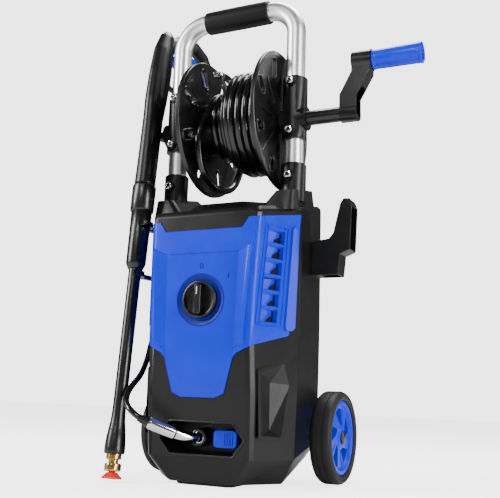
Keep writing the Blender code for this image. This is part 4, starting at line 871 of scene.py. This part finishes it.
def louver_space(side, row):
    """The space of one louver, deep along its rear edge."""
    top = LOUVER_TOP_Z - LOUVER_PITCH * row
    low = top - LOUVER_HEIGHT
    start = wing_lean(top, *LOUVER_START)
    end = wing_lean(top, *LOUVER_END)
    rings = []
    depths = ((start, -0.0030, -0.0012), (end - 0.006, -0.0110, -0.0060), (end, -0.0112, -0.0106))
    for reach, deep_low, deep_top in depths:
        ring = [on_wing(side, reach, low, deep_low), on_wing(side, reach, low, 0.010)]
        ring += [on_wing(side, reach, top, 0.010), on_wing(side, reach, top, deep_top)]
        rings.append(ring)
    return skin(rings)


def bar_on_wing(side, ends, size):
    """A raised bar with sloped sides between two (reach, z) points on the wing."""
    width, height = size
    (r0, z0), (r1, z1) = ends
    heading = Vector((r1 - r0, z1 - z0)).normalized()
    aside = Vector((-heading.y, heading.x)) * width / 2
    rings = []
    for reach, z in ends:
        ring = []
        for share, out in ((-1.0, ROOT), (-0.55, height), (0.55, height), (1.0, ROOT)):
            ring.append(on_wing(side, reach + aside.x * share, z + aside.y * share, out))
        rings.append(ring)
    return skin(rings)


def wing_frames(side):
    """Frame bars round the louver column and between its windows."""
    bars = [(((low, FRAME_LOW_Z), (top, FRAME_TOP_Z)), FRAME_BAR) for low, top in FRAME_REACHES]
    first, near, far, last = FRAME_REACHES
    for z, end in ((FRAME_TOP_Z, 1), (FRAME_LOW_Z, 0)):
        bars.append((((first[end], z), (last[end], z)), FRAME_BAR))
    for row in range(LOUVERS + 1):
        z = LOUVER_TOP_Z - LOUVER_PITCH * row + (LOUVER_PITCH - LOUVER_HEIGHT) / 2
        bars.append((((wing_lean(z, *near), z), (wing_lean(z, *far), z)), CROSS_BAR))
    return [(bar_on_wing(side, ends, size), Matrix()) for ends, size in bars]


def field_ridge(side):
    """The long ridge beside the panel's field."""
    foot = [(side * x, z, 0.1030) for x, z in RIDGE_FOOT]
    top = [(side * x, z, 0.1125) for x, z in RIDGE_TOP]
    return skin([foot, top])


def wing_wedge(side):
    """The long wedge that rises towards the louvers from behind."""
    rings = []
    for z, near, far in WEDGE_RINGS:
        outs = ((near, ROOT), (near + 0.0014, 0.0040), (far - 0.0100, ROOT))
        rings.append([on_wing(side, reach, z, out) for reach, out in outs])
    return skin(rings)


def make_panel():
    """The panel with deep louvers in frames, two long ridges beside its field and a dish for the knob."""
    body = bmesh.new()
    body.from_mesh(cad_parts["front_panel"].data)
    bmesh.ops.remove_doubles(body, verts=body.verts, dist=WELD_GAP)
    cutters = [placed(lathe(DISH_CUT, 72), KNOB_PLACE)]
    cutters += [louver_space(side, row) for side in (-1, 1) for row in range(LOUVERS)]
    carved = carve(body, cutters)
    bmesh.ops.remove_doubles(carved, verts=carved.verts, dist=WELD_GAP)
    bmesh.ops.dissolve_limit(carved, angle_limit=FLAT_ANGLE, verts=carved.verts, edges=carved.edges)
    parts = [(carved, Matrix())]
    for side in (-1, 1):
        parts += wing_frames(side)
        parts.append((field_ridge(side), FRONT_VIEW))
        parts.append((wing_wedge(side), Matrix()))
    panel = merged(parts)
    add_piece("blue_panel", panel, "blue_plastic", "frame", ["front_panel"], 0.0006, CORNER_ANGLE)


def make_dish_shade():
    """The dark liner of the dish round the knob: painted shade, standing in for the shadow in the recessed
    dish.
    """
    add_piece("dial_dish_shade", placed(lathe(DISH_SHADE_LINER, 80), KNOB_PLACE), "dark_blue", "frame")


def make_marks():
    """Raised 0 and 1 on the panel beside the knob."""
    turns = np.linspace(0, 2 * math.pi, 25)[:-1]
    ring = [Vector((0.0028 * math.cos(a), 0.0042 * math.sin(a), 0.1037)) for a in turns]
    above = Matrix.Translation((0.0, 0, KNOB_Z + 0.0560)) @ FRONT_VIEW
    stroke = prism(rounded(rectangle(0.0013, 0.0084), 0.0005), 0.1030, 0.1041)
    beside = Matrix.Translation((0.0500, 0, KNOB_Z + 0.0380)) @ FRONT_VIEW
    add_piece("dial_marks", merged([(bead(ring, 0.0006), above), (stroke, beside)]), "dark_blue", "frame")


def make_knob():
    """The selector: a rimmed disc with a raised bar grip and a pale pointer on it."""
    low = rounded(rectangle(0.0130, 0.0500), 0.0040)
    high = rounded(rectangle(0.0080, 0.0470), 0.0030)
    levels = ((low, 0.1040), (low, 0.1150), (high, 0.1172))
    bar = skin([[(x, y, height) for x, y in outline] for outline, height in levels])
    parts = [(lathe(KNOB_PROFILE, 72), KNOB_PLACE), (bar, KNOB_PLACE)]
    add_piece("knob", merged(parts), "satin_black", "selector", ["selector_knob"], 0.0005)
    pointer = prism(rounded(rectangle(0.0016, 0.0130, (0.0, 0.0140)), 0.0006), 0.1168, 0.1175)
    add_piece("knob_pointer", placed(pointer, KNOB_PLACE), "mark_white", "selector")


make_panel()
make_dish_shade()
make_marks()
make_knob()


# ---- connections and lance -----------------------------------------------------------------------
def lance_frame():
    """Where the gun hangs: local z runs up the lance from its tip, as in the CAD source."""
    along = (LANCE_TOP - LANCE_TIP).normalized()
    sideways = Matrix.Rotation(math.atan2(along.x, along.z), 4, "Y")
    forwards = Matrix.Rotation(-math.asin(along.y), 4, "X")
    return Matrix.Translation(LANCE_TIP) @ sideways @ forwards @ Matrix.Rotation(GUN_TWIST, 4, "Z")


LANCE_FRAME = lance_frame()
RECESS_CORNERS = (          # x and z from the recess's middle
    (-0.077, 0.0), (-0.057, -0.0262), (0.057, -0.0262), (0.077, 0.0), (0.057, 0.0262), (-0.057, 0.0262),
)
FRONT_LEAN = ((0.045, 0.150), (-0.091, -0.099))    # two heights, and the housing's front there
PORT_RING = ((0.0096, 0.0660), (0.0078, 0.0660), (0.0078, 0.0600), (0.0096, 0.0600))
SLEEVE = ((0.0046, 0.0002), (0.0074, 0.0002), (0.0066, 0.0130), (0.0054, 0.0180), (0.0052, 0.0180))
TIP_FINS = 18
TIP_RINGS = (               # height, radius and depth of the pleats
    (0.0105, 0.0090, 0.0), (0.0060, 0.0132, 0.0008), (0.0035, 0.0166, 0.0016), (0.0006, 0.0170, 0.0016),
)
TIP_STEM = (
    (0, 0.0100), (0.0090, 0.0100), (0.0088, 0.0108), (0.0057, 0.0112), (0.0057, 0.0290), (0, 0.0290),
)
BRASS_BEADS = (0.0332, 0.0352, 0.0372)             # heights up the lance
BEAD_PROFILE = ((0.0122, -0.0006), (0.0127, -0.0003), (0.0127, 0.0003), (0.0122, 0.0006))
PAD_ROWS = ((0.0700, 0.0154), (0.0780, 0.0142), (0.0860, 0.0132))    # height and radius
PADS = 6                    # in each row
COLLAR_FOOT_Z = 0.357
COLLAR_TOP_Z = 0.463
NUT_TOP_Z = 0.516


def make_recess_lip():
    """A raised lip round the mouth of the connection recess."""
    path = []
    for x, z in rounded(RECESS_CORNERS, 0.006, 5):
        place_x, place_z = RECESS_MIDDLE[0] + x, RECESS_MIDDLE[1] + z
        path.append(Vector((place_x, float(np.interp(place_z, *FRONT_LEAN)) - 0.0002, place_z)))
    add_piece("recess_lip", bead(path, 0.0015, 12), "satin_black", "frame")


def make_small_parts():
    """The bright ring in the outlet port and the sleeve where the jumper leaves its coupling."""
    place = Matrix.Translation(OUTLET) @ FRONT_VIEW
    add_piece("port_insert", placed(lathe(PORT_RING, 48), place), "chrome", "frame", (), 0.0004)
    turn = COUPLING_ENTRY.to_track_quat("Z", "Y").to_matrix().to_4x4()
    sleeve = placed(lathe(SLEEVE, 40), Matrix.Translation(COUPLING_END) @ turn)
    add_piece("hose_sleeve", sleeve, "satin_black", "frame", (), 0.0002)


def make_spray_tip():
    """The red tip's skirt is pleated into fins round its mouth."""
    rings = []
    for height, radius, depth in TIP_RINGS:
        ring = []
        for i in range(TIP_FINS * 4):
            angle = 2 * math.pi * i / (TIP_FINS * 4)
            pleat = radius - depth * (i % 4 in (0, 1))
            ring.append((pleat * math.cos(angle), pleat * math.sin(angle), height))
        rings.append(ring)
    parts = [(skin(rings), LANCE_FRAME), (lathe(TIP_STEM, 32), LANCE_FRAME)]
    add_piece("spray_tip", merged(parts), "red_plastic", "nozzle", ["nozzle_tip"], 0.0003)


def up_lance(z):
    """How far up the lance from its tip a height above the floor is."""
    return (z - LANCE_FRAME[2][3]) / LANCE_FRAME[2][2]


def make_lance():
    """The flared lance, its collar and the nut under the gun, turned smooth."""
    foot, collar_top, nut_top = up_lance(COLLAR_FOOT_Z), up_lance(COLLAR_TOP_Z), up_lance(NUT_TOP_Z)
    lance = [
        (0, 0.0400), (0.0156, 0.0400), (0.0164, 0.0404), (0.0172, 0.0430), (0.0171, 0.0500), (0.0167, 0.0580),
        (0.0160, 0.0660), (0.0150, 0.0740), (0.0137, 0.0830), (0.0124, 0.0920), (0.0115, 0.1030),
        (0.0112, 0.1150), (0.0112, foot - GAP), (0, foot - GAP),
    ]
    collar = [
        (0, foot), (0.0126, foot), (0.0136, foot + 0.0010), (0.0170, foot + 0.0085), (0.0176, foot + 0.0110),
        (0.0182, collar_top - 0.0400), (0.0188, collar_top - 0.0010), (0.0180, collar_top), (0, collar_top),
    ]
    nut = [
        (0, collar_top + GAP), (0.0182, collar_top + GAP), (0.0192, collar_top + 0.0010),
        (0.0212, collar_top + 0.0040), (0.0215, nut_top - 0.0040), (0.0208, nut_top - 0.0010),
        (0.0200, nut_top), (0, nut_top),
    ]
    turned = (
        ("flared_lance", lance, "lance_tube"),
        ("gun_collar", collar, "lance_collar"),
        ("gun_nut", nut, "lance_nut"),
    )
    for name, profile, node in turned:
        add_piece(name, placed(lathe(profile), LANCE_FRAME), "satin_black", "gun", [node])


def make_lance_rings():
    """Turned beads on the brass coupler and grip pads on the lance's flared end."""
    beads = []
    for height in BRASS_BEADS:
        ring = [(radius, height + rise) for radius, rise in BEAD_PROFILE]
        beads.append((lathe(ring, 40), LANCE_FRAME))
    add_piece("coupler_beads", merged(beads), "brass", "gun")
    pads = []
    for row, (height, radius) in enumerate(PAD_ROWS):
        for i in range(PADS):
            angle = 2 * math.pi * (i + 0.5 * (row % 2)) / PADS
            pad = prism(rounded(rectangle(0.0050, 0.0030), 0.0012), -0.0012, 0.0003)
            spot = Matrix.Rotation(angle, 4, "Z") @ Matrix.Translation((radius, 0, height))
            upright = ALONG_X @ Matrix.Rotation(math.pi / 2, 4, "Z")
            pads.append((pad, LANCE_FRAME @ spot @ upright))
    add_piece("lance_pads", merged(pads), "satin_black", "gun", (), 0.0003)


make_recess_lip()
make_small_parts()
make_spray_tip()
make_lance()
make_lance_rings()


# ---- moulded gun body ----------------------------------------------------------------------------
def mould(node, voxel, rounds):
    """Blend a CAD node's joins into one moulded form."""
    node.modifiers.clear()
    weld_points(node)
    remesh = node.modifiers.new("remesh", "REMESH")
    remesh.mode = "VOXEL"
    remesh.voxel_size = voxel
    remesh.use_smooth_shade = True
    smooth = node.modifiers.new("smooth", "SMOOTH")
    smooth.factor = 0.5
    smooth.iterations = rounds


mould(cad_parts["gun_body"], 0.0014, 28)
mould(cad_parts["gun_trigger"], 0.0012, 16)


# ---- light and floor -----------------------------------------------------------------------------
AMBIENT = 0.10
BACKDROP = 3.6              # what the camera sees behind the machine; it lights nothing
FLOOR_GLOW = 3.0            # added to the floor for the camera only
LIGHTS = (                  # name, place, size and watts
    ("key", (-2.0, -1.5, 1.5), (0.6, 1.6), 92),
    ("side", (2.3, -0.7, 0.9), (0.5, 2.0), 70),
    ("rim", (1.9, 1.5, 0.8), (0.35, 1.7), 14),
    ("fill", (0.2, -2.6, 2.0), (0.6, 0.6), 26),
    ("top", (0.2, 0.6, 2.1), (1.2, 0.8), 45),
)


MIDDLE = Vector((0.05, 0.0, 0.42))    # the lights point here
FLOOR_HALF = 6.0
FLOOR_COLOUR = (0.92, 0.92, 0.92, 1)
FLOOR_ROUGHNESS = 0.75


def area_light(name, place, size, power):
    data = bpy.data.lights.new(name, "AREA")
    data.shape = "RECTANGLE"
    data.size, data.size_y = size
    data.energy = power
    light = bpy.data.objects.new(name, data)
    light.location = place
    light.rotation_euler = (MIDDLE - Vector(place)).to_track_quat("-Z", "Y").to_euler()
    light.visible_camera = False
    bpy.context.scene.collection.objects.link(light)


def connect_seen(tree, output, lit, seen):
    """Let the camera see one shader, while the other one lights the machine."""
    ray = tree.nodes.new("ShaderNodeLightPath")
    mixed = tree.nodes.new("ShaderNodeMixShader")
    tree.links.new(ray.outputs["Is Camera Ray"], mixed.inputs[0])
    tree.links.new(lit.outputs[0], mixed.inputs[1])
    tree.links.new(seen.outputs[0], mixed.inputs[2])
    tree.links.new(mixed.outputs[0], tree.nodes[output].inputs["Surface"])


def make_floor():
    """A pale floor that looks brighter to the camera than it lights the machine."""
    mesh = bpy.data.meshes.new("floor")
    corners = [(x * FLOOR_HALF, y * FLOOR_HALF, 0) for x, y in ((-1, -1), (1, -1), (1, 1), (-1, 1))]
    mesh.from_pydata(corners, [], [(0, 1, 2, 3)])
    floor = bpy.data.objects.new("floor", mesh)
    bpy.context.scene.collection.objects.link(floor)
    pale = bpy.data.materials.new("pale_floor")
    pale.use_nodes = True
    tree = pale.node_tree
    shader = tree.nodes["Principled BSDF"]
    shader.inputs["Base Color"].default_value = FLOOR_COLOUR
    shader.inputs["Roughness"].default_value = FLOOR_ROUGHNESS
    glow = tree.nodes.new("ShaderNodeEmission")
    glow.inputs["Strength"].default_value = FLOOR_GLOW
    both = tree.nodes.new("ShaderNodeAddShader")
    tree.links.new(shader.outputs[0], both.inputs[0])
    tree.links.new(glow.outputs[0], both.inputs[1])
    connect_seen(tree, "Material Output", shader, both)
    mesh.materials.append(pale)


def make_backdrop():
    """A bright backdrop for the camera over a dim ambient light."""
    world = bpy.data.worlds.new("studio")
    world.use_nodes = True
    tree = world.node_tree
    dim = tree.nodes["Background"]
    bright = tree.nodes.new("ShaderNodeBackground")
    for shader, strength in ((dim, AMBIENT), (bright, BACKDROP)):
        shader.inputs["Color"].default_value = (1, 1, 1, 1)
        shader.inputs["Strength"].default_value = strength
    connect_seen(tree, "World Output", dim, bright)
    bpy.context.scene.world = world


make_floor()
make_backdrop()
for light_name, light_place, light_size, light_power in LIGHTS:
    area_light(light_name, light_place, light_size, light_power)
